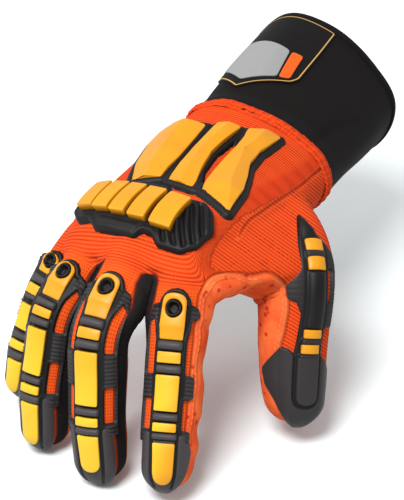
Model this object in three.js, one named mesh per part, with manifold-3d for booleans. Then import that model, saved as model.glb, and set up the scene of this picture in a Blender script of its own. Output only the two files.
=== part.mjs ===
// An impact work glove for the right hand in its worn form, fingertips down and wrist raised.
// A cloth shell carries moulded rubber guards over the fingers, the knuckles and the back.
// Millimetres and degrees. Inside the posed group +X is the thumb's side, +Y the cuff and +Z the back.
// Each cloth tube is a sweep: a section carried along a line that bends in one plane.
// Every guard is laid out flat and wrapped onto the sweep that it sits on, so it follows its carrier.
import * as THREE from "three";
import { ConvexGeometry } from "three/addons/geometries/ConvexGeometry.js";
import { mergeVertices } from "three/addons/utils/BufferGeometryUtils.js";
import Module from "manifold-3d";

const wasm = await Module();
wasm.setup();

// Cloth and clearances
const CLOTH = 1.8; // wall of the knit and suede shell
const CUFF_WALL = 2.6; // foam-backed cuff fabric
const CLEAR = 0.3; // gap between pieces that touch
const SQUARENESS = 0.88; // under 1, a section of cloth is fuller than an ellipse
const PALM_SIDES = 20; // facets round the palm and cuff, and round a finger
const FINGER_SIDES = 12;

// Pose of the whole glove
const GLOVE_PITCH = 2; // fingers lower than the wrist
const GLOVE_ROLL = -9; // thumb's side higher than the little finger's

// Palm and back
const PALM_LENGTH = 98; // wrist seam to knuckle line
const WEB_REACH = 20; // knuckle line to the split between the fingers
const KNUCKLE_BEND = 40; // how far the back turns down over the knuckles
const WRIST_Y = 6; // wrist seam, towards the cuff from the wrist's centre
const PALM_WIDTH = 98; // outside, at the knuckles
const PALM_THICKNESS = 46; // outside, through the ball of the thumb
const WRIST_WIDTH = 78; // outside, at the seam where the cuff is sewn on
const WRIST_THICKNESS = 45;
const WRIST_LEAN = 30; // the wrist's section is turned, thumb side down
const WRIST_SLANT = 14; // the seam reaches further to the fingers on the little finger's side
const THUMB_SPLIT = 52; // along the thumb, where its own tube begins
const WEB_FROM_INDEX = 16; // along the index finger and the thumb, where the web between them ends
const WEB_FROM_THUMB = 44;
const FINGER_ROOT = 34; // how far each finger's tube is carried back into the palm
const HOLLOW_OVERRUN = 10; // how far the palm's hollow runs on into each finger
const SEAM_DROP = 4; // the seam between back and palm lies this far under the middle of the section

// Fingers. A knuckle lies aside by a share of half the palm's width, along by a share of its length from the
// wrist seam, and up by a share of half its thickness. spread is where it points, bends are its joints'.
const FINGERS = [
  { name: "index", aside: 0.674, along: 1.041, up: 0.044, spread: 11, bends: [56, 4, 2] },
  { name: "middle", aside: 0.204, along: 1.082, up: 0.13, spread: 0, bends: [36, 38, 6] },
  { name: "ring", aside: -0.265, along: 1.02, up: 0.044, spread: -15, bends: [36, 31, 10] },
  { name: "little", aside: -0.694, along: 0.908, up: -0.174, spread: -22, bends: [42, 15, 11] },
];
// The bones run knuckle, middle joint, end joint, tip. guardFrom is where the guard starts on the first.
const FINGER_SIZES = {
  index: { bones: [48, 35, 29], width: 25.4, guardFrom: 0.43 },
  middle: { bones: [51, 39, 30], width: 26, guardFrom: 0.47 },
  ring: { bones: [47, 36, 29], width: 24.8, guardFrom: 0.5 },
  little: { bones: [38, 28, 25], width: 22.4, guardFrom: 0.54 },
};
const THUMB = { aside: 0.49, along: 0.265, up: -0.61, yaw: 52, pitch: 15, roll: 20, bends: [59, -4] };
const THUMB_SIZE = { bones: [46, 40, 34], width: 28 };
const TIP_ROUND = 0.4; // radius of a closed tip, as a share of the finger's width

// Sections of a finger: joint 0 is the knuckle, 1 the middle joint, 2 the end joint and 3 the tip.
// side, up and down are shares of half the finger's width.
const FINGER_SECTIONS = [
  { joint: -0.8, side: 0.66, up: 0.6, down: 0.66 },
  { joint: 0, side: 0.86, up: 0.82, down: 0.86 },
  { joint: 0.5, side: 0.96, up: 0.98, down: 1.0 },
  { joint: 1, side: 1.0, up: 1.0, down: 0.96 },
  { joint: 1.5, side: 0.98, up: 0.94, down: 0.98 },
  { joint: 2, side: 0.96, up: 0.92, down: 0.94 },
  { joint: 2.5, side: 0.94, up: 0.84, down: 0.94 },
  { joint: 3, side: 0.9, up: 0.78, down: 0.88 },
];
const THUMB_SECTIONS = [
  { joint: 0, side: 1.1, up: 1.1, down: 1.2 },
  { joint: 0.5, side: 1.25, up: 1.15, down: 1.35 },
  { joint: 1, side: 1.18, up: 1.02, down: 1.15 },
  { joint: 1.5, side: 1.06, up: 0.94, down: 1.0 },
  { joint: 2, side: 1.0, up: 0.92, down: 0.98 },
  { joint: 2.5, side: 0.98, up: 0.88, down: 0.95 },
  { joint: 3, side: 0.92, up: 0.78, down: 0.86 },
];
// Sections of the palm: reach 0 is the wrist seam, 1 the knuckle line and 2 the split between the fingers.
// side and shift, which moves a section to the thumb, are shares of half the palm's width, up and down of
// half its thickness, lean and slant of the wrist's.
const PALM_SECTIONS = [
  { reach: 0.25, side: 0.82, up: 0.88, down: 1.1, shift: 0.06, lean: 0.75, slant: 0.5 },
  { reach: 0.5, side: 0.86, up: 0.8, down: 1.12, shift: 0.07, lean: 0.4, slant: 0 },
  { reach: 0.75, side: 0.88, up: 0.74, down: 0.98, shift: 0.07, lean: 0.14, slant: 0 },
  { reach: 1, side: 0.87, up: 0.74, down: 0.76, shift: 0.08, lean: 0, slant: 0 },
  { reach: 1.5, side: 0.84, up: 0.7, down: 0.6, shift: 0.09, lean: 0, slant: 0 },
  { reach: 2, side: 0.8, up: 0.6, down: 0.48, shift: 0.1, lean: 0, slant: 0 },
];

// Cuff: reach and flare run from 0 at the wrist seam to 1 at the mouth
const CUFF_LENGTH = 97;
const CUFF_YAW = 15; // the forearm leans to the little finger's side
const CUFF_RISE = -2;
const MOUTH_WIDTH = 85;
const MOUTH_THICKNESS = 61;
const MOUTH_LEAN = 44;
const CUFF_SECTIONS = [
  { reach: 0, flare: 0 },
  { reach: 0.3, flare: 0.16 },
  { reach: 0.7, flare: 0.7 },
  { reach: 1, flare: 1 },
];
const BINDING_LENGTH = 4; // bound edge round the mouth
const BINDING_LIP = 0.8; // how far it stands proud of the cuff
const HEM_LENGTH = 5; // rolled hem over the wrist seam
const HEM_RISE = 2.6;

// Finger guards
const GUARD_LOW = 0.8; // underside of a guard over the cloth, clear of the facets
const GUARD_REACH = 1.14; // half of a guard's width, as a share of half its finger's
const GUARD_SHIFT = 3.5; // guards sit a little to the thumb's side of the fingers
const GUARD_THICK = 1.2;
const RIB_THICK = 2.9; // raised black ribs between the pads
const PAD_THICK = 1.6;
// joint is the place along the finger, and under 0.9 a share of the stretch from the guard's start to there.
// half is a share of the guard's half-width. rib rows are raised.
const GUARD_ROWS = [
  { joint: 0, half: 0.5 }, { joint: 0.08, half: 0.74 }, { joint: 0.2, half: 0.82 }, { joint: 0.5, half: 0.9 },
  { joint: 0.91, half: 1 }, { joint: 0.955, half: 1, rib: true }, { joint: 1.0, half: 1 },
  { joint: 1.07, half: 1 }, { joint: 1.12, half: 1, rib: true }, { joint: 1.17, half: 1 },
  { joint: 1.46, half: 0.98 }, { joint: 1.76, half: 0.95 }, { joint: 1.83, half: 0.95, rib: true },
  { joint: 1.89, half: 0.94 }, { joint: 2.02, half: 0.94 }, { joint: 2.09, half: 0.93, rib: true },
  { joint: 2.15, half: 0.92 },
];
// Columns of a guard, as shares of its half-width
const GUARD_COLUMNS = [-1, -0.74, -0.4, 0, 0.4, 0.74, 1];
// Windows in a guard's sides, from row to row of GUARD_ROWS
const GUARD_WINDOWS = [{ from: 5, to: 10 }, { from: 11, to: 15 }];
// Pads of a finger, from row to row of GUARD_ROWS
const PADS = [
  { name: "knuckle_pad", from: 0, to: 4 }, { name: "middle_band", from: 6, to: 7 },
  { name: "long_pad", from: 9, to: 11 }, { name: "end_band", from: 13, to: 14 },
];
const PAD_HOLE = { from: 2, to: 3 }; // rows between which the knuckle pad is open
const HOLE_SHARE = 0.42; // the hole's width, as a share of the pad's
const CAP_ROWS = [2.17, 2.5, 2.74, 2.89, 2.97]; // joints along the fingertip cap
const CAP_TURN = 112; // how far round the finger the cap reaches, each way
const CAP_DROP = 7; // how much further to the tip the cap starts at its sides
const CAP_THICK = 1.4;
const TIP_PAD_ROWS = [2.2, 2.5, 2.8]; // joints along the pad on the cap
const TIP_PAD_REACH = 0.42; // half of the pad's width, as a share of half the finger's

// Thumb guard, by joints along the thumb, half as a share of the guard's half-width
const THUMB_GUARD_HALF = 9.5;
const THUMB_ROWS = [
  { joint: 0.66, half: 0.16 }, { joint: 0.8, half: 0.64 },
  { joint: 0.89, half: 0.9 }, { joint: 0.97, half: 0.95 },
  { joint: 1.0, half: 0.97 }, { joint: 1.09, half: 0.99 }, { joint: 1.14, half: 1, rib: true },
  { joint: 1.35, half: 1, rib: true }, { joint: 1.6, half: 1, rib: true }, { joint: 1.65, half: 0.99 },
  { joint: 1.76, half: 0.99 }, { joint: 1.84, half: 0.98, rib: true }, { joint: 1.9, half: 0.97 },
  { joint: 2.02, half: 0.95 }, { joint: 2.06, half: 0.95 },
];
const THUMB_COLUMNS = [-1, -0.55, 0, 0.55, 1];
const THUMB_BANDS = [
  { name: "thumb_band_1", from: 2, to: 3 }, { name: "thumb_band_2", from: 4, to: 5 },
  { name: "thumb_band_3", from: 9, to: 10 }, { name: "thumb_band_4", from: 12, to: 13 },
];
const THUMB_DRIFT = -4; // across: the guard runs to the index finger's side towards its tip
const THUMB_CAP_ROWS = [2.08, 2.4, 2.68, 2.87, 2.97];

// Guard on the back: lines from its wrist end to its knuckle end. from and to are shares of palm length,
// a0 and a1 are the line's places across the palm and bow moves its middle to the thumb, all as shares of
// half the palm's width.
const BACK_GUARD_LINES = [
  { from: 0.3, a0: -0.72, to: 0.87, a1: -0.45, bow: 0 },
  { from: 0.29, a0: -0.68, to: 0.85, a1: -0.39, bow: 0 },
  { from: 0.28, a0: -0.53, to: 0.86, a1: -0.2, bow: 0 },
  { from: 0.27, a0: -0.37, to: 0.78, a1: -0.06, bow: -0.03 },
  { from: 0.25, a0: -0.29, to: 0.78, a1: 0, bow: 0.03 },
  { from: 0.22, a0: -0.18, to: 0.82, a1: 0.18, bow: 0 },
  { from: 0.19, a0: -0.08, to: 0.8, a1: 0.35, bow: -0.03 },
  { from: 0.17, a0: 0, to: 0.79, a1: 0.41, bow: 0.04 },
  { from: 0.15, a0: 0.14, to: 0.84, a1: 0.63, bow: 0.01 },
  { from: 0.12, a0: 0.27, to: 0.8, a1: 0.8, bow: -0.05 },
  { from: 0.1, a0: 0.31, to: 0.82, a1: 0.86, bow: -0.05 },
];
const BACK_GUARD_ROWS = [-0.04, 0, 0.27, 0.54, 0.8, 0.94, 1]; // shares of the lines, pads lie between ends
const BACK_GUARD_THICK = 1.6;
const BACK_PAD_THICK = 2.2;
const BACK_PAD_RIDGE = 1.4; // the long ridge down the middle of each pad
const BACK_PAD_SLOPE = 1.2; // how much lower a pad is at its two ends

// Knuckle guard: its two long edges as shares of the palm's length, by columns across half the palm's width
const KNUCKLE_COLUMNS = [
  { across: -0.67, top: 0.93, bottom: 1.06 }, { across: -0.53, top: 0.9, bottom: 1.09 },
  { across: -0.35, top: 0.89, bottom: 1.1 }, { across: -0.16, top: 0.87, bottom: 1.11 },
  { across: 0.06, top: 0.88, bottom: 1.12 }, { across: 0.29, top: 0.89, bottom: 1.13 },
  { across: 0.51, top: 0.9, bottom: 1.14 }, { across: 0.73, top: 0.93, bottom: 1.14 },
  { across: 0.88, top: 0.98, bottom: 1.09 },
];
const KNUCKLE_THICK = 2.6;
const BARS = { count: 5, first: -0.51, last: 0.47, start: 0.92 }; // across and along, as above
const BAR_WIDTH = 9;
const BAR_LENGTH = 14;
const BAR_THICK = 3.4;

// Label on the cuff, a shield with its point to the wrist. left and right are shares of half the mouth's
// width, the others of the cuff's length from the wrist.
const LABEL = { left: -1.2, right: -0.19, top: 0.97, side: 0.39, point: 0.21, thick: 0.8 };
const LABEL_WINDOW = { left: -1.08, right: -0.51, top: 0.68, side: 0.39, point: 0.29, thick: 0.6 };
const LABEL_BLOCK = { left: -0.48, right: -0.32, top: 0.66, side: 0.37, point: 0.37, thick: 0.6 };

const { degToRad: rad, clamp, lerp, smoothstep } = THREE.MathUtils;
const vector = (x, y, z) => new THREE.Vector3(x, y, z);
const rounded = (value) => Math.sign(value) * Math.abs(value) ** SQUARENESS;

// The value of one column of a table at s, along a smooth curve through its rows.
function columnAt(rows, column, s) {
  let i = 0;
  while (i < rows.length - 2 && s > rows[i + 1].s) i++;
  const [a, b] = [rows[i], rows[i + 1]];
  const before = rows[Math.max(i - 1, 0)];
  const after = rows[Math.min(i + 2, rows.length - 1)];
  const span = b.s - a.s;
  const t = clamp((s - a.s) / span, 0, 1);
  const leave = ((b[column] - before[column]) / (b.s - before.s)) * span;
  const arrive = ((after[column] - a[column]) / (after.s - a.s)) * span;
  const [t2, t3] = [t * t, t * t * t];
  return (
    (2 * t3 - 3 * t2 + 1) * a[column] + (t3 - 2 * t2 + t) * leave +
    (3 * t2 - 2 * t3) * b[column] + (t3 - t2) * arrive
  );
}

// A sweep's point(s, turn, height) is the place at s along its line, turned round from the back
// towards the thumb, and raised off the cloth. bends turn it to the palm, tip is its closed end's radius.
function makeSweep({ at, facing, bends = [], rows, to, ahead = -1, tip = 0 }) {
  const bentBy = (s) =>
    bends.reduce((sum, b) => sum + rad(b.deg) * smoothstep(s, b.s - b.over / 2, b.s + b.over / 2), 0);
  const turnAt = (s) =>
    facing.clone().multiply(new THREE.Quaternion().setFromAxisAngle(vector(1, 0, 0), bentBy(s)));
  const line = new Map([[0, at.clone()]]);
  const walk = (s) => {
    if (!line.has(s)) {
      const back = s > 0 ? s - 1 : s + 1;
      const heading = vector(0, ahead * (s - back), 0).applyQuaternion(turnAt((s + back) / 2));
      line.set(s, walk(back).clone().add(heading));
    }
    return line.get(s);
  };
  const centre = (s) => {
    const low = Math.floor(s);
    return walk(low).clone().lerp(walk(low + 1), s - low);
  };
  const taper = (s) => (tip && s > to - tip ? Math.sqrt(Math.max(1 - ((s - to + tip) / tip) ** 2, 1e-4)) : 1);
  const skin = (s, turn) => {
    const [side, up, down] = ["side", "up", "down"].map((column) => columnAt(rows, column, s) * taper(s));
    const [shift, lean, slant] = ["shift", "lean", "slant"].map((column) =>
      column in rows[0] ? columnAt(rows, column, s) : 0);
    const depth = Math.cos(turn) > 0 ? up : down;
    return vector(side * rounded(Math.sin(turn)), 0, depth * rounded(Math.cos(turn)))
      .applyAxisAngle(vector(0, 1, 0), rad(lean)).applyAxisAngle(vector(0, 0, 1), rad(slant))
      .add(vector(shift, 0, 0))
      .applyQuaternion(turnAt(s)).add(centre(s));
  };
  const point = (s, turn, height = 0) => {
    const near = Math.min(s, to - 0.02);
    const along = skin(near + 0.01, turn).sub(skin(near - 0.3, turn));
    const round = skin(near, turn + 0.03).sub(skin(near, turn - 0.03));
    const out = along.cross(round).normalize().multiplyScalar(-ahead * height);
    return skin(s, turn).add(out);
  };
  // The turn that lies a distance across the cloth from the middle of the back.
  const turnAcross = (s, across) => {
    const whole = Math.min(s, to - tip);
    const step = rad(3);
    let [turn, gone, last] = [0, 0, skin(whole, 0)];
    while (turn < Math.PI) {
      const next = skin(whole, (turn + step) * Math.sign(across));
      const stretch = next.distanceTo(last);
      if (gone + stretch > Math.abs(across)) break;
      [turn, gone, last] = [turn + step, gone + stretch, next];
    }
    const stretch = skin(whole, (turn + step) * Math.sign(across)).distanceTo(last);
    return Math.sign(across) * (turn + (step * (Math.abs(across) - gone)) / stretch);
  };
  const place = (across, s, height) => point(s, across ? turnAcross(s, across) : 0, height);
  return { point, place, turnAcross, centre, turnAt, to, tip };
}

// Faces are turned to point out of the solid.
function geometryOf(points, faces) {
  let volume = 0;
  for (const [a, b, c] of faces) volume += points[a].dot(points[b].clone().cross(points[c]));
  const outward = volume < 0 ? faces.map(([a, b, c]) => [a, c, b]) : faces;
  const geometry = new THREE.BufferGeometry().setFromPoints(points);
  return geometry.setIndex(outward.flat());
}

// A solid through rings of points. A loop of rings closes on itself, any other is closed at both ends.
function loftRings(rings, loop = false) {
  const sides = rings[0].length;
  const points = rings.flat();
  const faces = [];
  const joins = loop ? rings.length : rings.length - 1;
  for (let i = 0; i < joins; i++) {
    const [here, next] = [i * sides, ((i + 1) % rings.length) * sides];
    for (let j = 0; j < sides; j++) {
      const k = (j + 1) % sides;
      faces.push([here + j, here + k, next + k], [here + j, next + k, next + j]);
    }
  }
  if (!loop)
    [0, rings.length - 1].forEach((i) => {
      const middle = rings[i].reduce((sum, p) => sum.add(p), vector(0, 0, 0)).divideScalar(sides);
      const hub = points.push(middle) - 1;
      for (let j = 0; j < sides; j++) {
        const edge = [i * sides + j, i * sides + ((j + 1) % sides)];
        faces.push(i ? [hub, edge[0], edge[1]] : [hub, edge[1], edge[0]]);
      }
    });
  return geometryOf(points, faces);
}

const ringAt = (sweep, s, height, sides) =>
  Array.from({ length: sides }, (_, j) => sweep.point(s, (2 * Math.PI * j) / sides, height));

// A hoop carries a closed outline of [s, height] corners round a sweep.
const hoop = (sweep, outline, sides) =>
  loftRings(outline.map(([s, height]) => ringAt(sweep, s, height, sides)), true);

// Places along a sweep, with its round end followed in equal turns.
function stations(sweep, from, steps, endSteps = 2) {
  const straight = sweep.to - sweep.tip;
  const places = Array.from({ length: steps + 1 }, (_, i) => from + ((straight - from) * i) / steps);
  for (let i = 1; i <= endSteps; i++) places.push(straight + sweep.tip * Math.sin(rad((76 * i) / endSteps)));
  return places;
}

// The full tube, for joining and cutting, shrunk or grown by height.
const tube = (sweep, places, height, sides) =>
  loftRings(places.map((s) => ringAt(sweep, s, height, sides)));

// A cloth tube with a closed tip, open where it meets the palm.
function stall(sweep, from, steps, sides) {
  const places = stations(sweep, from, steps);
  const outside = places.map((s) => ringAt(sweep, s, 0, sides));
  const inside = places.map((s) => ringAt(sweep, s, -CLOTH, sides));
  return loftRings([...outside.reverse(), ...inside]);
}

// A solid sheet between two grids of points. Cells for which isOpen(row, column) is true are left out.
function sheetSolid(top, bottom, isOpen = () => false) {
  const [rows, columns] = [top.length, top[0].length];
  const points = [...top.flat(), ...bottom.flat()];
  const [up, under] = [(i, j) => i * columns + j, (i, j) => (rows + i) * columns + j];
  const solid = (i, j) => i >= 0 && j >= 0 && i < rows - 1 && j < columns - 1 && !isOpen(i, j);
  const faces = [];
  const wall = (a, b, c, d) => {
    faces.push([up(a, b), up(c, d), under(c, d)], [up(a, b), under(c, d), under(a, b)]);
  };
  for (let i = 0; i < rows - 1; i++)
    for (let j = 0; j < columns - 1; j++) {
      if (!solid(i, j)) continue;
      faces.push([up(i, j), up(i, j + 1), up(i + 1, j + 1)], [up(i, j), up(i + 1, j + 1), up(i + 1, j)]);
      faces.push([under(i, j), under(i + 1, j + 1), under(i, j + 1)]);
      faces.push([under(i, j), under(i + 1, j), under(i + 1, j + 1)]);
      if (!solid(i - 1, j)) wall(i, j + 1, i, j);
      if (!solid(i + 1, j)) wall(i + 1, j, i + 1, j + 1);
      if (!solid(i, j - 1)) wall(i, j, i + 1, j);
      if (!solid(i, j + 1)) wall(i + 1, j + 1, i, j + 1);
    }
  return geometryOf(points, faces);
}

// A sheet laid out flat as a grid of cells { s, across, low, high } and wrapped onto a sweep.
// A cell may give its turn round the sweep in place of across.
function wrapSheet(sweep, grid, isOpen) {
  const lay = (key) => grid.map((row) => row.map((cell) => cell.turn === undefined
    ? sweep.place(cell.across, cell.s, cell[key]) : sweep.point(cell.s, cell.turn, cell[key])));
  return sheetSolid(lay("high"), lay("low"), isOpen);
}

function manifoldOf(geometry) {
  const bare = new THREE.BufferGeometry()
    .setAttribute("position", geometry.getAttribute("position")).setIndex(geometry.getIndex());
  const merged = mergeVertices(bare, 1e-4);
  return new wasm.Manifold(new wasm.Mesh({
    numProp: 3,
    vertProperties: new Float32Array(merged.attributes.position.array),
    triVerts: new Uint32Array(merged.index.array),
  }));
}

function geometryFrom(solid) {
  const mesh = solid.getMesh();
  const places = new Float32Array(mesh.numVert * 3);
  for (let i = 0; i < mesh.numVert; i++)
    places.set(mesh.vertProperties.subarray(i * mesh.numProp, i * mesh.numProp + 3), i * 3);
  return new THREE.BufferGeometry()
    .setAttribute("position", new THREE.BufferAttribute(places, 3))
    .setIndex(new THREE.BufferAttribute(new Uint32Array(mesh.triVerts), 1));
}

// Sweeps
const FINGER_SPLIT = WEB_REACH; // along each finger, where its own tube begins
const level = new THREE.Quaternion();
const turned = (yaw, pitch = 0, roll = 0) =>
  new THREE.Quaternion().setFromEuler(new THREE.Euler(rad(pitch), rad(roll), rad(yaw), "ZXY"));
const jointPlace = (bones, joint) => {
  const whole = clamp(Math.floor(joint), 0, bones.length - 1);
  return bones.slice(0, whole).reduce((sum, bone) => sum + bone, 0) + (joint - whole) * bones[whole];
};
const sized = (table, bones, half) =>
  table.map(({ joint, side, up, down }) => ({
    s: jointPlace(bones, joint), side: side * half, up: up * half, down: down * half,
  }));

// A place in the palm, by shares of its size.
const inPalm = ({ aside, along, up }) =>
  vector((aside * PALM_WIDTH) / 2, WRIST_Y - along * PALM_LENGTH, (up * PALM_THICKNESS) / 2);

function fingerSweep({ spread, bends, bones, width, ...root }) {
  const total = jointPlace(bones, 3);
  return makeSweep({
    at: inPalm(root), facing: turned(spread), to: total, tip: width * TIP_ROUND,
    rows: sized(FINGER_SECTIONS, bones, width / 2),
    bends: bends.map((deg, i) => ({ deg, s: jointPlace(bones, i), over: i ? width * 0.8 : width * 1.3 })),
  });
}
const wristHalf = WRIST_THICKNESS / 2;
const wristRow = { side: WRIST_WIDTH / 2, up: wristHalf, down: wristHalf, lean: WRIST_LEAN };
const palmSweep = makeSweep({
  at: vector(0, WRIST_Y, 0), facing: level, to: PALM_LENGTH + WEB_REACH + 12,
  bends: [{ deg: KNUCKLE_BEND, s: PALM_LENGTH + 6, over: 32 }],
  rows: [
    { s: 0, shift: 1, ...wristRow, slant: WRIST_SLANT },
    ...PALM_SECTIONS.map(({ reach, side, up, down, shift, lean, slant }) => ({
      s: Math.min(reach, 1) * PALM_LENGTH + Math.max(reach - 1, 0) * WEB_REACH,
      side: (side * PALM_WIDTH) / 2, up: (up * PALM_THICKNESS) / 2, down: (down * PALM_THICKNESS) / 2,
      shift: (shift * PALM_WIDTH) / 2, lean: lean * WRIST_LEAN, slant: slant * WRIST_SLANT,
    })),
  ],
});
const thumbSweep = makeSweep({
  at: inPalm(THUMB), facing: turned(THUMB.yaw, THUMB.pitch, THUMB.roll),
  to: jointPlace(THUMB_SIZE.bones, 3), tip: THUMB_SIZE.width * TIP_ROUND,
  rows: sized(THUMB_SECTIONS, THUMB_SIZE.bones, THUMB_SIZE.width / 2),
  bends: THUMB.bends.map((deg, i) => ({
    deg, s: jointPlace(THUMB_SIZE.bones, i + 1), over: THUMB_SIZE.width * (i ? 0.8 : 1.4),
  })),
});
const cuffSweep = makeSweep({
  at: vector(1, WRIST_Y, 0), facing: turned(CUFF_YAW, CUFF_RISE), ahead: 1,
  to: CUFF_LENGTH + 2 * BINDING_LENGTH,
  rows: CUFF_SECTIONS.map(({ reach, flare }) => ({
    s: reach * CUFF_LENGTH,
    side: lerp(wristRow.side, MOUTH_WIDTH / 2, flare),
    up: lerp(wristRow.up, MOUTH_THICKNESS / 2, flare), down: lerp(wristRow.down, MOUTH_THICKNESS / 2, flare),
    lean: lerp(WRIST_LEAN, MOUTH_LEAN, flare), slant: lerp(WRIST_SLANT - CUFF_YAW, 0, flare),
  })),
});
const fingers = FINGERS.map((finger) => {
  const whole = { ...finger, ...FINGER_SIZES[finger.name] };
  return { ...whole, sweep: fingerSweep(whole) };
});

// Colours
const paint = (color, roughness) => new THREE.MeshStandardMaterial({ color, roughness, metalness: 0 });
const PAINTS = {
  knit: paint(0xf4511e, 0.9), suede: paint(0xf0562c, 0.85), black_cloth: paint(0x191718, 0.9),
  black_rubber: paint(0x242223, 0.55), yellow_rubber: paint(0xf7b21a, 0.5), grey_rubber: paint(0x3c3a3c, 0.5),
};
const posed = new THREE.Group();
function addPiece(name, geometry, material) {
  const mesh = new THREE.Mesh(geometry, PAINTS[material].clone());
  mesh.name = name;
  posed.add(mesh);
  return mesh;
}

// Cloth shell of the palm, the web and the finger roots
function shellSolid(height) {
  // The hollow runs past the shell where it opens, and a clearance goes all round.
  const past = height < 0 ? HOLLOW_OVERRUN : height;
  const reach = PALM_LENGTH + WEB_REACH;
  const palmPlaces = [0.06, 0.2, 0.4, 0.6, 0.78, 0.88, 1].map((t) => t * reach);
  palmPlaces.unshift(height < 0 ? -3 : -height);
  const fingerPlaces = [-1, -0.5, 0, 0.4].map((t) => t * FINGER_ROOT);
  const thumbPlaces = [0.04, 0.3, 0.58, 0.8].map((t) => t * THUMB_SPLIT);
  let whole = manifoldOf(tube(palmSweep, palmPlaces, height, PALM_SIDES));
  for (const { sweep } of fingers)
    whole = whole.add(manifoldOf(tube(sweep, [...fingerPlaces, FINGER_SPLIT + past], height, FINGER_SIDES)));
  whole = whole.add(manifoldOf(tube(thumbSweep, [...thumbPlaces, THUMB_SPLIT + past], height, FINGER_SIDES)));
  return whole.add(manifoldOf(webHull(height)));
}
// The web is cloth stretched from the index finger's side to the thumb's.
function webHull(height) {
  const index = fingers[0].sweep;
  const rings = [ringAt(index, 2, height, 10), ringAt(index, WEB_FROM_INDEX, height, 10)];
  rings.push(ringAt(thumbSweep, 12, height, 10), ringAt(thumbSweep, WEB_FROM_THUMB, height, 10));
  return new ConvexGeometry(rings.flat());
}
const shell = shellSolid(0).subtract(shellSolid(-CLOTH));
// Everything on one side of the palm's middle surface
function halfSpace(side) {
  const [wide, deep] = [1.2 * PALM_LENGTH, 2 * PALM_THICKNESS];
  const corners = (s) => [[-wide, 0], [wide, 0], [wide, deep], [-wide, deep]].map(([x, z]) => {
    const corner = vector(x, 0, side * (z + CLEAR / 2) - SEAM_DROP);
    return corner.applyQuaternion(palmSweep.turnAt(s)).add(palmSweep.centre(s));
  });
  const places = [-0.2, 0.6, 0.9, 1.04, 1.6].map((reach) => reach * PALM_LENGTH);
  return manifoldOf(loftRings(places.map(corners)));
}
addPiece("back_panel", geometryFrom(shell.intersect(halfSpace(1))), "knit");
addPiece("palm_panel", geometryFrom(shell.intersect(halfSpace(-1))), "suede");
// Each finger's tube ends where the palm shell begins, and gives way to the fingers beside it.
const taken = [shellSolid(CLEAR)];
function fitted(geometry, solids = taken) {
  const rest = solids.reduce((left, solid) => left.subtract(solid), manifoldOf(geometry));
  return geometryFrom(rest.decompose().reduce((a, b) => (a.volume() > b.volume() ? a : b)));
}
for (const { name, sweep } of fingers)
  addPiece(name + "_stall", fitted(stall(sweep, FINGER_SPLIT - 6, 5, FINGER_SIDES)), "knit");
addPiece("thumb_stall", fitted(stall(thumbSweep, THUMB_SPLIT - 6, 4, FINGER_SIDES)), "suede");

// Cuff
const cuffPlaces = [-0.06, 0.3, 0.65, 1].map((t) => t * CUFF_LENGTH);
const beforeSeam = manifoldOf(tube(palmSweep, [-CLEAR, 6, 20], 6, PALM_SIDES));
addPiece("cuff", fitted(hoop(cuffSweep, [
  ...cuffPlaces.map((s) => [s, 0]), ...cuffPlaces.toReversed().map((s) => [s, -CUFF_WALL]),
], PALM_SIDES), [beforeSeam, ...taken]), "black_cloth");
const [bindingStart, bindingEnd] = [CUFF_LENGTH + CLEAR, CUFF_LENGTH + BINDING_LENGTH];
addPiece("cuff_binding", hoop(cuffSweep, [
  [bindingStart, BINDING_LIP], [bindingEnd - 1, BINDING_LIP], [bindingEnd, 0], [bindingEnd, -CUFF_WALL],
  [bindingEnd - 1, -CUFF_WALL - BINDING_LIP], [bindingStart, -CUFF_WALL - BINDING_LIP],
], PALM_SIDES), "black_cloth");
addPiece("wrist_hem", hoop(palmSweep, [
  [0, 1.5 * CLEAR], [0, HEM_RISE * 0.6], [HEM_LENGTH * 0.4, HEM_RISE], [HEM_LENGTH, HEM_RISE * 0.6],
  [HEM_LENGTH, 1.5 * CLEAR],
], PALM_SIDES), "knit");

const clothOver = shellSolid(1.5 * CLEAR);

// Finger guards, each on a grid that its pads share
function guardGrid(rows, columns, placeOf, half, shiftAt) {
  return rows.map((row) => columns.map((column) => ({
    s: placeOf(row.joint), across: shiftAt(row.joint) + column * row.half * half, low: GUARD_LOW,
    high: GUARD_LOW + (row.rib && Math.abs(column) < 0.7 ? RIB_THICK : GUARD_THICK),
  })));
}
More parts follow.
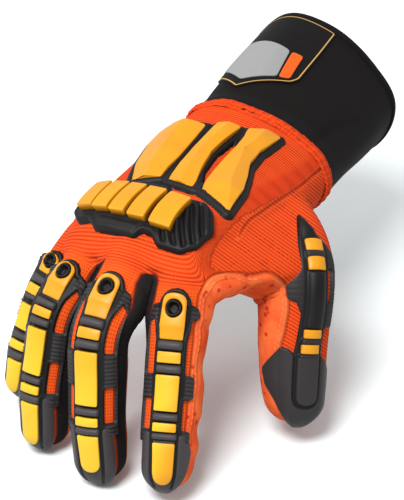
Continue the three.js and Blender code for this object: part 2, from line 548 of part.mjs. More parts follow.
// A pad over some rows and columns of a guard's grid, set in from them by the clearance.
function padOn(sweep, grid, from, to, first, last, thick, isOpen) {
  const part = grid.slice(from, to + 1).map((row) => row.slice(first, last + 1));
  const rows = part.map((row, i, all) => row.map((cell, j, cells) => {
    const [endRow, endColumn] = [i === 0 || i === all.length - 1, j === 0 || j === cells.length - 1];
    const floor = GUARD_LOW + GUARD_THICK + CLEAR;
    return {
      s: cell.s + (i === 0 ? 2 * CLEAR : i === all.length - 1 ? -2 * CLEAR : 0), across: cell.across,
      low: floor, high: floor + thick * (endColumn || endRow ? 0.75 : 1),
    };
  }));
  return wrapSheet(sweep, rows, isOpen);
}
function addFingerGuard({ name, guardFrom, bones, width, sweep }) {
  const along = (joint) => jointPlace(bones, joint < 0.9 ? lerp(guardFrom, 0.9, joint / 0.9) : joint);
  const half = (GUARD_REACH * width) / 2;
  const grid = guardGrid(GUARD_ROWS, GUARD_COLUMNS, along, half, () => GUARD_SHIFT);
  const lastCell = GUARD_COLUMNS.length - 3;
  const inWindow = (i, j) => (j === 1 || j === lastCell)
    && GUARD_WINDOWS.some(({ from, to }) => i >= from && i < to);
  addPiece(name + "_guard", fitted(wrapSheet(sweep, grid, inWindow)), "black_rubber");
  for (const { name: pad, from, to } of PADS) {
    const holed = pad === "knuckle_pad" ? padWithHole : padOn;
    addPiece(name + "_" + pad, holed(sweep, grid, from, to, 2, 4, PAD_THICK), "yellow_rubber");
  }
  addCap(name, sweep, CAP_ROWS.map(along), GUARD_SHIFT);
  const tipPad = TIP_PAD_ROWS.map((joint) => [-1, 0, 1].map((side) => ({
    s: along(joint), across: GUARD_SHIFT + (side * TIP_PAD_REACH * width) / 2,
    low: GUARD_LOW + CAP_THICK + 3 * CLEAR, high: GUARD_LOW + CAP_THICK + PAD_THICK * (side ? 1 : 1.3),
  })));
  addPiece(name + "_tip_pad", wrapSheet(sweep, tipPad), "yellow_rubber");
}
// The knuckle pad has a hole through its middle.
function padWithHole(sweep, grid, from, to, first, last, thick) {
  const split = grid.map((row) => {
    const [left, middle, right] = [row[first], row[first + 1], row[last]];
    const beside = (cell) => ({
      ...middle, across: middle.across + (cell.across - middle.across) * HOLE_SHARE,
    });
    return [left, beside(left), beside(right), right];
  });
  const inHole = (i, j) => j === 1 && i >= PAD_HOLE.from && i < PAD_HOLE.to;
  return padOn(sweep, split, from, to, 0, 3, thick, inHole);
}
function addCap(name, sweep, places, shift) {
  const turns = Array.from({ length: 9 }, (_, j) => (rad(CAP_TURN) * (j - 4)) / 4);
  const offset = sweep.turnAcross(places[0], shift);
  const [start, end] = [places[0], places.at(-1)];
  const grid = places.map((s) => turns.map((turn) => ({
    s: s + CAP_DROP * (Math.abs(turn) / rad(CAP_TURN)) ** 2 * ((end - s) / (end - start)),
    turn: turn + offset, low: GUARD_LOW, high: GUARD_LOW + CAP_THICK,
  })));
  addPiece(name + "_tip_cap", wrapSheet(sweep, grid), "grey_rubber");
}
fingers.forEach(addFingerGuard);

// Thumb guard
const alongThumb = (joint) => jointPlace(THUMB_SIZE.bones, joint);
const thumbDrift = (joint) => THUMB_DRIFT * smoothstep(joint, 1, 2.2);
const thumbGrid = guardGrid(THUMB_ROWS, THUMB_COLUMNS, alongThumb, THUMB_GUARD_HALF, thumbDrift);
addPiece("thumb_guard", fitted(wrapSheet(thumbSweep, thumbGrid), [clothOver]), "black_rubber");
for (const { name, from, to } of THUMB_BANDS)
  addPiece(name, padOn(thumbSweep, thumbGrid, from, to, 1, 3, PAD_THICK), "yellow_rubber");
addCap("thumb", thumbSweep, THUMB_CAP_ROWS.map(alongThumb), THUMB_DRIFT);

// Guard on the back
const lineCell = ({ from, a0, to, a1, bow }, t) => ({
  s: lerp(from, to, t) * PALM_LENGTH,
  across: ((lerp(a0, a1, t) + bow * Math.sin(Math.PI * t)) * PALM_WIDTH) / 2,
});
const backGrid = BACK_GUARD_ROWS.map((t) => BACK_GUARD_LINES.map((line) => ({
  ...lineCell(line, t), low: GUARD_LOW, high: GUARD_LOW + BACK_GUARD_THICK,
})));
const slit = (i, j) => (j === 3 || j === 6) && i > 0 && i < BACK_GUARD_ROWS.length - 3;
addPiece("back_guard", wrapSheet(palmSweep, backGrid, slit), "black_rubber");
["left", "middle", "right"].forEach((side, k) => {
  const floor = GUARD_LOW + BACK_GUARD_THICK + CLEAR;
  const grid = backGrid.slice(1, -1).map((row, i, rows) => row.slice(1 + 3 * k, 4 + 3 * k).map((cell, j) => ({
    s: cell.s, across: cell.across, low: floor,
    high: floor + BACK_PAD_THICK + (j === 1 ? BACK_PAD_RIDGE : 0)
      - (i && i < rows.length - 1 ? 0 : BACK_PAD_SLOPE),
  })));
  addPiece("back_pad_" + side, wrapSheet(palmSweep, grid), "yellow_rubber");
});

// Knuckle guard, cut to the cloth below it
const knuckleBase = [0, 0.5, 1].map((t) => KNUCKLE_COLUMNS.map(({ across, top, bottom }) => ({
  s: lerp(top, bottom, t) * PALM_LENGTH, across: (across * PALM_WIDTH) / 2,
  low: 0, high: GUARD_LOW + KNUCKLE_THICK,
})));
addPiece("knuckle_guard", fitted(wrapSheet(palmSweep, knuckleBase), [clothOver]), "black_rubber");
for (let k = 0; k < BARS.count; k++) {
  const middle = (lerp(BARS.first, BARS.last, k / (BARS.count - 1)) * PALM_WIDTH) / 2;
  const floor = GUARD_LOW + KNUCKLE_THICK + 3 * CLEAR;
  const grid = [0, 0.5, 1].map((t) => [-0.5, 0.5].map((side) => ({
    s: BARS.start * PALM_LENGTH + t * BAR_LENGTH, across: middle + side * BAR_WIDTH,
    low: floor, high: floor + BAR_THICK,
  })));
  addPiece("knuckle_bar_" + (k + 1), wrapSheet(palmSweep, grid), "yellow_rubber");
}

// Label on the cuff, a shield with its point to the wrist
function labelGrid({ left, right, top, side, point }, low, thick) {
  const lower = (t) => lerp(side, point, 1 - Math.abs(2 * t - 1));
  return [0, 0.5, 1].map((u) => [0, 0.17, 0.33, 0.5, 0.67, 0.83, 1].map((t) => ({
    s: lerp(lower(t), top, u) * CUFF_LENGTH, across: (lerp(left, right, t) * MOUTH_WIDTH) / 2,
    low, high: low + thick,
  })));
}
addPiece("cuff_label", wrapSheet(cuffSweep, labelGrid(LABEL, GUARD_LOW, LABEL.thick)), "black_rubber");
const overLabel = GUARD_LOW + LABEL.thick + 2 * CLEAR;
const windowGrid = labelGrid(LABEL_WINDOW, overLabel, LABEL_WINDOW.thick);
addPiece("label_window", wrapSheet(cuffSweep, windowGrid), "grey_rubber");
addPiece("label_block", wrapSheet(cuffSweep, labelGrid(LABEL_BLOCK, overLabel, LABEL_BLOCK.thick)), "knit");

const mouth = cuffSweep.centre(CUFF_LENGTH);
const glove = new THREE.Group();
posed.rotation.set(rad(GLOVE_PITCH), rad(GLOVE_ROLL), 0);
posed.position.copy(mouth.clone().applyEuler(posed.rotation).negate());
glove.add(posed);
export default glove;
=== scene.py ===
# %% [markdown]
# # An impact glove, dressed in Blender
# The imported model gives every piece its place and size. This script gives each piece the shape
# detail and the finish of the real one: knit, suede, foam-backed cloth and moulded rubber.

# %% Load the frame
import bpy
import bmesh
import math
import numpy as np
from mathutils import Matrix, Vector
from mathutils.kdtree import KDTree


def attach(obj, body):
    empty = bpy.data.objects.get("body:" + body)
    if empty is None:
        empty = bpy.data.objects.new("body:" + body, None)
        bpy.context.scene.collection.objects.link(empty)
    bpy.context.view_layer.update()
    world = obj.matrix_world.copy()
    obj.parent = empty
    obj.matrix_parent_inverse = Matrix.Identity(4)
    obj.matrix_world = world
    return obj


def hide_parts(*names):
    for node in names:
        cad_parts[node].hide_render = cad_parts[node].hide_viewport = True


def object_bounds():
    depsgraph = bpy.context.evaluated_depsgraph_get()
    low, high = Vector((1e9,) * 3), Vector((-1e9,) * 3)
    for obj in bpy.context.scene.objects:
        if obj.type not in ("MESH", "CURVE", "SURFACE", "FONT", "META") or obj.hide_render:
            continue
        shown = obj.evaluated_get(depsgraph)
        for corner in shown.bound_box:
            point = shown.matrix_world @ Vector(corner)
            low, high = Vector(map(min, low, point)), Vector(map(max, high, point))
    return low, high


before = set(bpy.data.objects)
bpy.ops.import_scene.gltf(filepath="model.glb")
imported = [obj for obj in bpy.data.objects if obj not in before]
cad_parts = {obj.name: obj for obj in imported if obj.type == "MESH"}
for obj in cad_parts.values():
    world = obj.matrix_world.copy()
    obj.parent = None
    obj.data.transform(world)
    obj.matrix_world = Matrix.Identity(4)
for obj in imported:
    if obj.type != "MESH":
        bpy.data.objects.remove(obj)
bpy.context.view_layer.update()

# %% [markdown]
# ## Sizes of the glove
# A glove is a set of cloth tubes: the palm, four fingers, a thumb and a cuff. They could be drawn one
# by one, but the solids were made from the same short tables, so repeating the tables puts every seam
# and every moulded pad exactly where its solid is. Sizes are in millimetres until a mesh is made.

# %% Name the sizes
MM = 0.001
CLOTH, CUFF_WALL, SQUARENESS = 1.8, 2.6, 0.88
GLOVE_PITCH, GLOVE_ROLL = 2, -9
PALM_LENGTH, WEB_REACH, KNUCKLE_BEND, WRIST_Y = 98, 20, 40, 6
PALM_WIDTH, PALM_THICKNESS = 98, 46
WRIST_WIDTH, WRIST_THICKNESS, WRIST_LEAN, WRIST_SLANT = 78, 45, 30, 14
THUMB_SPLIT, WEB_FROM_INDEX, WEB_FROM_THUMB = 52, 16, 44
FINGERS = {
    "index": dict(knuckle=(33, -96, 1), spread=11, bends=(56, 4, 2), bones=(48, 35, 29), width=25.4,
                  start=0.43),
    "middle": dict(knuckle=(10, -100, 3), spread=0, bends=(36, 38, 6), bones=(51, 39, 30), width=26,
                   start=0.47),
    "ring": dict(knuckle=(-13, -94, 1), spread=-15, bends=(36, 31, 10), bones=(47, 36, 29), width=24.8,
                 start=0.5),
    "little": dict(knuckle=(-34, -83, -4), spread=-22, bends=(42, 15, 11), bones=(38, 28, 25), width=22.4,
                   start=0.54),
}
THUMB = dict(root=(24, -20, -14), yaw=52, pitch=15, roll=20, bends=(59, -4), bones=(46, 40, 34), width=28)
TIP_ROUND = 0.4
# joint, side, up, down
FINGER_SECTIONS = [(-0.8, 0.66, 0.6, 0.66), (0, 0.86, 0.82, 0.86), (0.5, 0.96, 0.98, 1.0),
                   (1, 1.0, 1.0, 0.96),
                   (1.5, 0.98, 0.94, 0.98), (2, 0.96, 0.92, 0.94), (2.5, 0.94, 0.84, 0.94),
                   (3, 0.9, 0.78, 0.88)]
THUMB_SECTIONS = [(0, 1.1, 1.1, 1.2), (0.5, 1.25, 1.15, 1.35), (1, 1.18, 1.02, 1.15), (1.5, 1.06, 0.94, 1.0),
                  (2, 1.0, 0.92, 0.98), (2.5, 0.98, 0.88, 0.95), (3, 0.92, 0.78, 0.86)]
# reach, side, up, down, shift, lean, slant
PALM_SECTIONS = [(0.25, 0.82, 0.88, 1.1, 0.06, 0.75, 0.5), (0.5, 0.86, 0.8, 1.12, 0.07, 0.4, 0),
                 (0.75, 0.88, 0.74, 0.98, 0.07, 0.14, 0), (1, 0.87, 0.74, 0.76, 0.08, 0, 0),
                 (1.5, 0.84, 0.7, 0.6, 0.09, 0, 0), (2, 0.8, 0.6, 0.48, 0.1, 0, 0)]
CUFF_LENGTH, CUFF_YAW, CUFF_RISE = 97, 15, -2
MOUTH_WIDTH, MOUTH_THICKNESS, MOUTH_LEAN = 85, 61, 44
CUFF_SECTIONS = [(0, 0), (0.3, 0.16), (0.7, 0.7), (1, 1)]
BINDING_LENGTH, BINDING_LIP = 4, 0.8
print("fingers", list(FINGERS))

# %% [markdown]
# ## Sweeps
# Each tube is a sweep: a rounded section carried along a line that bends in one plane. Two numbers
# then name any spot of the cloth, s along the tube and across round it, and a third lifts off it.
# Laying pads out flat in s and across and wrapping them on is how the real moulds sit on a finger.

# %% Write the sweep
def turn_x(angle):
    c, s = math.cos(angle), math.sin(angle)
    return np.array([[1, 0, 0], [0, c, -s], [0, s, c]])


def turn_y(angle):
    c, s = math.cos(angle), math.sin(angle)
    return np.array([[c, 0, s], [0, 1, 0], [-s, 0, c]])


def turn_z(angle):
    c, s = math.cos(angle), math.sin(angle)
    return np.array([[c, -s, 0], [s, c, 0], [0, 0, 1]])


def smooth(low, high, x):
    t = np.clip((np.asarray(x, float) - low) / (high - low), 0, 1)
    return t * t * (3 - 2 * t)


def along_table(places, values, s):
    """A smooth curve through a table's rows."""
    places, values = np.asarray(places, float), np.asarray(values, float)
    i = np.searchsorted(places[1:-1], s, side="left")
    before, after = np.maximum(i - 1, 0), np.minimum(i + 2, len(places) - 1)
    span = places[i + 1] - places[i]
    t = np.clip((s - places[i]) / span, 0, 1)
    leave = (values[i + 1] - values[before]) / (places[i + 1] - places[before]) * span
    arrive = (values[after] - values[i]) / (places[after] - places[i]) * span
    return ((2 * t**3 - 3 * t**2 + 1) * values[i] + (t**3 - 2 * t**2 + t) * leave
            + (3 * t**2 - 2 * t**3) * values[i + 1] + (t**3 - t**2) * arrive)


class Sweep:
    def __init__(self, at, facing, rows, to, bends=(), ahead=-1, tip=0):
        self.at, self.facing, self.to, self.bends, self.ahead, self.tip = np.array(at,
            float), facing, to, bends, ahead, tip
        self.rows = np.array(rows, float)  # s, side, up, down, shift, lean, slant
        self.line = np.arange(-60, to + 30, 0.25)
        angle = self.bent((self.line[1:] + self.line[:-1]) / 2)
        y = np.concatenate([[0], np.cumsum(ahead * np.cos(angle) * 0.25)])
        z = np.concatenate([[0], np.cumsum(ahead * np.sin(angle) * 0.25)])
        self.y, self.z = y - np.interp(0, self.line, y), z - np.interp(0, self.line, z)
        self.girths = None

    def bent(self, s):
        return sum((math.radians(deg) * smooth(place - over / 2, place + over / 2, s)
                    for deg, place, over in self.bends),
                   np.zeros_like(np.asarray(s, float)))

    def skin(self, s, turn):
        s, turn = np.broadcast_arrays(np.asarray(s, float), np.asarray(turn, float))
        column = [along_table(self.rows[:, 0], self.rows[:, i], s) for i in range(1, 7)]
        side, up, down, shift, lean, slant = column
        if self.tip:
            taper = np.sqrt(np.maximum(1 - (np.maximum(s - self.to + self.tip, 0) / self.tip) ** 2, 1e-4))
            side, up, down = side * taper, up * taper, down * taper
        sin, cos = np.sin(turn), np.cos(turn)
        x = side * np.sign(sin) * np.abs(sin) ** SQUARENESS
        z = np.where(cos > 0, up, down) * np.sign(cos) * np.abs(cos) ** SQUARENESS
        lean, slant, bend = np.radians(lean), np.radians(slant), self.bent(s)
        x, z = x * np.cos(lean) + z * np.sin(lean), -x * np.sin(lean) + z * np.cos(lean)
        x, y = x * np.cos(slant) + shift, x * np.sin(slant)
        y, z = y * np.cos(bend) - z * np.sin(bend), y * np.sin(bend) + z * np.cos(bend)
        local = np.stack([x, y + np.interp(s, self.line, self.y), z + np.interp(s, self.line, self.z)], -1)
        return local @ self.facing.T + self.at

    def outward(self, s, turn):
        near = np.minimum(s, self.to - 0.02)
        along = self.skin(near + 0.01, turn) - self.skin(near - 0.3, turn)
        out = np.cross(along, self.skin(near, turn + 0.03) - self.skin(near, turn - 0.03))
        return out * -self.ahead / np.maximum(np.linalg.norm(out, axis=-1, keepdims=True), 1e-9)

    def point(self, s, turn, height=0.0):
        s, turn, height = np.broadcast_arrays(np.asarray(s, float), np.asarray(turn, float),
            np.asarray(height, float))
        return self.skin(s, turn) + self.outward(s, turn) * height[..., None]

    def turn_across(self, s, across):
        """The turn that lies a distance across the cloth from the middle of the back."""
        if self.girths is None:
            self.places = np.arange(-12, self.to - self.tip + 0.5, 1.0)
            self.turns = np.radians(np.arange(-180, 181, 3))
            ring = self.skin(self.places[:, None], self.turns[None])
            girth = np.concatenate([np.zeros((len(ring), 1)),
                                    np.cumsum(np.linalg.norm(np.diff(ring, axis=1), axis=-1), 1)], 1)
            self.girths = girth - girth[:, 60:61]
        s, across = np.broadcast_arrays(np.asarray(s, float), np.asarray(across, float))
        shape, s, across = s.shape, s.ravel(), across.ravel()
        i = np.clip((s - self.places[0]).astype(int), 0, len(self.places) - 2)
        t = np.clip(s - self.places[i], 0, 1)[:, None]
        girth = self.girths[i] * (1 - t) + self.girths[i + 1] * t
        j = np.clip((girth <= across[:, None]).sum(1) - 1, 0, girth.shape[1] - 2)
        n = np.arange(len(s))
        low, high = girth[n, j], girth[n, j + 1]
        step = self.turns[1] - self.turns[0]
        return (self.turns[j] + (across - low) / (high - low) * step).reshape(shape)

    def place(self, s, across, height=0.0):
        return self.point(s, self.turn_across(s, across), height)


def joint_place(bones, joint):
    joint = np.asarray(joint, float)
    whole = np.clip(np.floor(joint), 0, len(bones) - 1).astype(int)
    return np.concatenate([[0], np.cumsum(bones)])[whole] + (joint - whole) * np.array(bones)[whole]


print("sweep ready")

# %% Lay the sweeps of palm, cuff, thumb and fingers
def facing_of(yaw, pitch=0, roll=0):
    return turn_z(math.radians(yaw)) @ turn_x(math.radians(pitch)) @ turn_y(math.radians(roll))


def digit_rows(table, bones, half):
    return [(float(joint_place(bones, j)), side * half, up * half, down * half, 0, 0, 0)
            for j, side, up, down in table]


def cuff_rows():
    rows = []
    for reach, flare in CUFF_SECTIONS:
        mix = lambda a, b: a + (b - a) * flare
        rows.append((reach * CUFF_LENGTH, mix(WRIST_WIDTH, MOUTH_WIDTH) / 2,
                     mix(WRIST_THICKNESS, MOUTH_THICKNESS) / 2,
                     mix(WRIST_THICKNESS, MOUTH_THICKNESS) / 2, 0, mix(WRIST_LEAN, MOUTH_LEAN),
                     mix(WRIST_SLANT - CUFF_YAW, 0)))
    return rows


def palm_rows():
    rows = [(0, WRIST_WIDTH / 2, WRIST_THICKNESS / 2, WRIST_THICKNESS / 2, 1, WRIST_LEAN, WRIST_SLANT)]
    for reach, side, up, down, shift, lean, slant in PALM_SECTIONS:
        s = min(reach, 1) * PALM_LENGTH + max(reach - 1, 0) * WEB_REACH
        rows.append((s, side * PALM_WIDTH / 2, up * PALM_THICKNESS / 2, down * PALM_THICKNESS / 2,
                     shift * PALM_WIDTH / 2, lean * WRIST_LEAN, slant * WRIST_SLANT))
    return rows


POSE = turn_x(math.radians(GLOVE_PITCH)) @ turn_y(math.radians(GLOVE_ROLL))
cuff_facing = facing_of(CUFF_YAW, CUFF_RISE)
MOUTH = np.array([1, WRIST_Y, 0]) + cuff_facing @ np.array([0, CUFF_LENGTH, 0])


def posed(at, facing, *rest, **named):
    return Sweep(POSE @ (np.array(at, float) - MOUTH), POSE @ facing, *rest, **named)


palm = posed((0, WRIST_Y, 0), np.eye(3), palm_rows(), PALM_LENGTH + WEB_REACH + 12,
             bends=[(KNUCKLE_BEND, PALM_LENGTH + 6, 32)])
cuff = posed((1, WRIST_Y, 0), cuff_facing, cuff_rows(), CUFF_LENGTH + 2 * BINDING_LENGTH, ahead=1)
thumb = posed(THUMB["root"], facing_of(THUMB["yaw"], THUMB["pitch"], THUMB["roll"]),
              digit_rows(THUMB_SECTIONS, THUMB["bones"], THUMB["width"] / 2), float(sum(THUMB["bones"])),
              bends=[(deg, float(joint_place(THUMB["bones"], i + 1)), THUMB["width"] * (0.8 if i else 1.4))
                     for i, deg in enumerate(THUMB["bends"])], tip=THUMB["width"] * TIP_ROUND)
fingers = {}
for name, f in FINGERS.items():
    fingers[name] = posed(f["knuckle"], facing_of(f["spread"]),
                          digit_rows(FINGER_SECTIONS, f["bones"], f["width"] / 2),
                          float(sum(f["bones"])), tip=f["width"] * TIP_ROUND,
                          bends=[(deg, float(joint_place(f["bones"], i)), f["width"] * (0.8 if i else 1.3))
                                 for i, deg in enumerate(f["bends"])])
check = cuff.point(CUFF_LENGTH * 0.65, 0.0)
print("cuff's back at", check.round(1), "index tip", fingers["index"].point(110.0, 0.0).round(1))

# %% [markdown]
# ## Shader sums in plain Python
# A finish is mostly arithmetic on masks. Drawing dozens of Math nodes singly hides the idea, so a
# small class wraps a socket and lets Python's own operators add the nodes. Colours go through Mix.

# %% Wrap a socket
class Value:
    def __init__(self, finish, socket):
        self.finish, self.socket = finish, socket

    def sum(self, kind, other, swap=False):
        pair = (other, self) if swap else (self, other)
        return self.finish.add("ShaderNodeMath", {"operation": kind}, dict(enumerate(pair)))

    def __add__(self, o): return self.sum("ADD", o)
    def __radd__(self, o): return self.sum("ADD", o, True)
    def __sub__(self, o): return self.sum("SUBTRACT", o)
    def __rsub__(self, o): return self.sum("SUBTRACT", o, True)
    def __mul__(self, o): return self.sum("MULTIPLY", o)
    def __rmul__(self, o): return self.sum("MULTIPLY", o, True)
    def __truediv__(self, o): return self.sum("DIVIDE", o)
    def __rtruediv__(self, o): return self.sum("DIVIDE", o, True)


class Finish:
    """One material, built up from nodes."""

    def __init__(self, name):
        self.material = bpy.data.materials.new(name)
        self.material.use_nodes = True
        self.tree = self.material.node_tree
        self.shader = self.tree.nodes["Principled BSDF"]

    def add(self, kind, settings=None, inputs=None, out=0):
        node = self.tree.nodes.new(kind)
        for key, value in (settings or {}).items():
            setattr(node, key, value)
        for key, value in (inputs or {}).items():
            if isinstance(value, Value):
                self.tree.links.new(value.socket, node.inputs[key])
            elif hasattr(value, "__len__") and len(value) == 3 and len(node.inputs[key].default_value) == 4:
                node.inputs[key].default_value = (*value, 1)
            else:
                node.inputs[key].default_value = value
        return Value(self, node.outputs[out])

    def set(self, **sockets):
        for key, value in sockets.items():
            socket = self.shader.inputs[key.replace("_", " ")]
            if isinstance(value, Value):
                self.tree.links.new(value.socket, socket)
            elif hasattr(value, "__len__") and len(value) == 3 and socket.type == "RGBA":
                socket.default_value = (*value, 1)
            else:
                socket.default_value = value
        return self

    def field(self, name, out="Fac"):
        return self.add("ShaderNodeAttribute", {"attribute_name": name}, {}, out)

    def flat(self):
        vector = self.field("flat", "Vector")
        split = self.add("ShaderNodeSeparateXYZ", {}, {0: vector})
        return split, Value(self, split.socket.node.outputs[1])

    def step(self, value, low, high):
        return self.add("ShaderNodeMapRange", {"interpolation_type": "SMOOTHSTEP"},
                        {"Value": value, "From Min": low, "From Max": high})

    def wave(self, value, period):
        return self.add("ShaderNodeMath", {"operation": "SINE"},
                        {0: value * (2 * math.pi / period)}) * 0.5 + 0.5

    def noise(self, scale, detail=3.0, vector=None):
        inputs = {"Scale": scale, "Detail": detail}
        inputs["Vector"] = vector or self.place()
        return self.add("ShaderNodeTexNoise", {}, inputs, "Fac")

    def place(self):
        return self.add("ShaderNodeTexCoord", {}, {}, "Object")

    def mix(self, share, a, b):
        return self.add("ShaderNodeMix", {"data_type": "RGBA"}, {0: share, 6: a, 7: b}, 2)

    def bump(self, height, strength=1.0, distance=0.0004):
        return self.add("ShaderNodeBump", {}, {"Strength": strength, "Distance": distance, "Height": height})


PAINT_SHARE = 0.55  # the studio light is strong, so paints are darker than they look in it


def paint(red, green, blue):
    """A paint by its screen values, 0 to 255, as light."""
    screen = [c / 255 for c in (red, green, blue)]
    return tuple(PAINT_SHARE * (c / 12.92 if c <= 0.04045 else ((c + 0.055) / 1.055) ** 2.4) for c in screen)


print("shader sums ready")

# %% [markdown]
# ## Moulded rubber
# The guards are soft moulded rubber: an even colour of its own, a satin skin with a fine grain, and a
# slightly duller, dustier look in broad patches. Noise at two sizes gives both without any picture.
# Raised bars and rib crests on the black guards get a lighter grey as painted highlight, and the
# grooves of the grey caps a near-black as painted shade.

# %% Make the rubber finishes
def rubber(name, black_and_groove_shade, highlight_and_grey, roughness):
    """Rubber in two paints mixed by a field: painted highlight on black, painted groove shade on grey."""
    finish = Finish(name)
    cloud, fine = finish.noise(55.0, 4.0), finish.noise(1500.0, 2.0)
    colour = finish.mix(finish.field("highlight_and_grey") * 0.88 + cloud * 0.12, black_and_groove_shade, highlight_and_grey)
    finish.set(Base_Color=colour, Roughness=cloud * 0.2 + (roughness - 0.1), Specular_IOR_Level=0.14,
               Normal=finish.bump(fine * 0.5 + cloud * 0.6, 0.35, 0.0002))
    return finish.material


def yellow_finish():
    finish = Finish("yellow_rubber")
    # The pads are lemon low down and a darker amber higher up and on the thumb's side.
    low = finish.step(finish.add("ShaderNodeSeparateXYZ", {}, {0: finish.place()}, 2), -0.05, -0.006)
    thumb_side = finish.step(finish.add("ShaderNodeSeparateXYZ", {}, {0: finish.place()}, 0), 0.075, 0.09)
    cloud = finish.noise(60.0, 4.0)
    amber = finish.mix(cloud, paint(212, 134, 0), paint(232, 158, 6))
    lemon = finish.mix(cloud, paint(230, 180, 24), paint(240, 196, 40))
    finish.set(Base_Color=finish.mix(low * (1 - thumb_side) + thumb_side, lemon, amber),
               Roughness=cloud * 0.2 + 0.34,
               Specular_IOR_Level=0.25, Normal=finish.bump(finish.noise(1300.0, 2.0) * 0.4 + cloud * 0.6,
                   0.3, 0.0002))
    return finish.material


# The black guards' lighter grey is painted highlight; the grey caps' near-black is painted groove shade.
black_rubber = rubber("black_rubber", paint(11, 9, 9), paint(70, 66, 68), 0.5)
grey_rubber = rubber("grey_rubber", paint(13, 11, 11), paint(70, 66, 68), 0.48)
yellow_rubber = yellow_finish()
print("rubber finishes", black_rubber.name, grey_rubber.name, yellow_rubber.name)

# %% [markdown]
# ## Cloth of three kinds in one finish
# The back is an orange stretch knit with ribs and rows of tiny eyelets, the palm side a soft orange
# suede with sparse worn spots, and the sides of the fingers black cloth. The seams between them run
# across the tubes, so each vertex stores how far it lies inside the suede and inside the black cloth.
# The finish compares those distances with zero, which gives a seam finer than the mesh.

# %% Make the cloth finishes
def stitches(finish, distance, run, row):
    """Dashes of thread along a seam, a given distance off it."""
    off = finish.add("ShaderNodeMath", {"operation": "ABSOLUTE"}, {0: distance - row})
    return (1 - finish.step(off, 0.2, 0.4)) * finish.step(finish.wave(run, 2.8), 0.2, 0.4)


def knit_parts(finish, s, across):
    along = finish.field("rib")
    rib = finish.wave(along, 1.5) * (1 - finish.field("plain") * 0.7)
    hole = finish.step(finish.wave(across, 1.4) * (1 - rib), 0.55,
                       0.9) * finish.step(finish.wave(along, 9.0), 0.5, 0.8)
    dot = finish.step(finish.wave(s, 1.45) * finish.wave(across, 1.45), 0.3, 0.7) * finish.field("mesh")
    patch = finish.noise(70.0, 3.0)
    colour = finish.mix(rib * 0.75 + patch * 0.25, paint(196, 44, 14), paint(242, 90, 30))
    colour = finish.mix(hole * 0.7, colour, paint(160, 34, 8))
    colour = finish.mix(finish.field("mesh"), colour, paint(240, 88, 26))
    colour = finish.mix(dot * 0.6, colour, paint(176, 44, 8))
    return colour, rib * (1 - finish.field("mesh")) * 0.8 - hole * 0.6 - dot * 0.8


def suede_parts(finish, s):
    nap, patch = finish.noise(900.0, 4.0), finish.noise(90.0, 3.0)
    far = finish.add("ShaderNodeTexVoronoi", {"feature": "F1"}, {"Vector": finish.place(), "Scale": 215.0},
                     "Distance")
    spot = (1 - finish.step(far, 0.14, 0.3)) * finish.step(finish.noise(110.0, 1.0), 0.3, 0.45)
    thread = stitches(finish, finish.field("suede"), s, 1.3) + stitches(finish, finish.field("suede"),
        s + 1.4, 3.0)
    colour = finish.mix(finish.step(patch, 0.3, 0.7), paint(232, 82, 36), paint(250, 116, 60))
    colour = finish.mix(spot * 0.8, colour, paint(176, 34, 18))
    colour = finish.mix(thread * 0.45, colour, paint(255, 150, 92))
    row = finish.step(finish.field("suede"), 0.5, 1.6) * (1 - finish.step(finish.field("suede"), 3.0, 4.2))
    return colour, nap * 0.5 + patch * 0.8 - spot * 0.8 + thread * 0.9 + row * 1.2


def glove_cloth(name):
    finish = Finish(name)
    s, across = finish.flat()
    knit, knit_height = knit_parts(finish, s, across)
    suede, suede_height = suede_parts(finish, s)
    weave = finish.wave(s, 1.0) * finish.wave(across, 1.0)
    black = finish.mix(finish.noise(300.0, 3.0), paint(20, 17, 17), paint(36, 32, 32))
    in_suede, in_black = (finish.step(finish.field(key), -0.15, 0.15) for key in ("suede", "black"))
    colour = finish.mix(in_black, finish.mix(in_suede, knit, suede), black)
    height = (knit_height * (1 - in_suede) + suede_height * in_suede) * (1
        - in_black) + weave * in_black * 0.4
    off = [finish.add("ShaderNodeMath", {"operation": "ABSOLUTE"}, {0: finish.field(k)})
           for k in ("black", "suede")]
    near = finish.add("ShaderNodeMath", {"operation": "MINIMUM"}, dict(enumerate(off)))
    seam = 1 - finish.step(near, 0.1, 0.9)
    drawn = 1 - finish.step(finish.field("seam"), 0.15, 1.0)
    thread = stitches(finish, finish.field("seam"), finish.field("run"), 1.5) * (1 - in_black)
    colour = finish.mix(seam * 0.55 + drawn * 0.5, colour, paint(120, 26, 8))
    colour = finish.mix(thread * 0.3, colour, paint(255, 130, 60))
    finish.set(Base_Color=colour, Roughness=0.9 - in_black * 0.06, Specular_IOR_Level=0.08,
               Normal=finish.bump(height - seam * 1.6 - drawn * 1.2 + thread * 0.6, 0.7, 0.0005))
    return finish.material


def hem_cloth():
    finish = Finish("hem_knit")
    s, across = finish.flat()
    patch, rib = finish.noise(120.0, 3.0), finish.wave(across, 1.2)
    thread = stitches(finish, s, across, 1.0) + stitches(finish, s, across + 1.4, 3.8)
    colour = finish.mix(rib * 0.4 + patch * 0.6, paint(198, 46, 14), paint(238, 82, 26))
    colour = finish.mix(thread * 0.45, colour, paint(140, 30, 8))
    finish.set(Base_Color=colour, Roughness=0.9, Specular_IOR_Level=0.08,
               Normal=finish.bump(rib * 0.4 + patch - thread * 1.2, 0.6, 0.0004))
    return finish.material


def cuff_cloth(name, dark, light):
    finish = Finish(name)
    s, across = finish.flat()
    patch = finish.noise(40.0, 3.0)
    thread = stitches(finish, s, across, CUFF_LENGTH - 3.0)
    weave = finish.wave(s, 0.9) * finish.wave(across, 0.9) * 0.4 + finish.noise(900.0, 2.0) * 0.5
    finish.set(Base_Color=finish.mix(patch, dark, light), Roughness=patch * 0.15 + 0.7,
               Specular_IOR_Level=0.07,
               Normal=finish.bump(weave + thread, 0.4, 0.0003))
    return finish.material


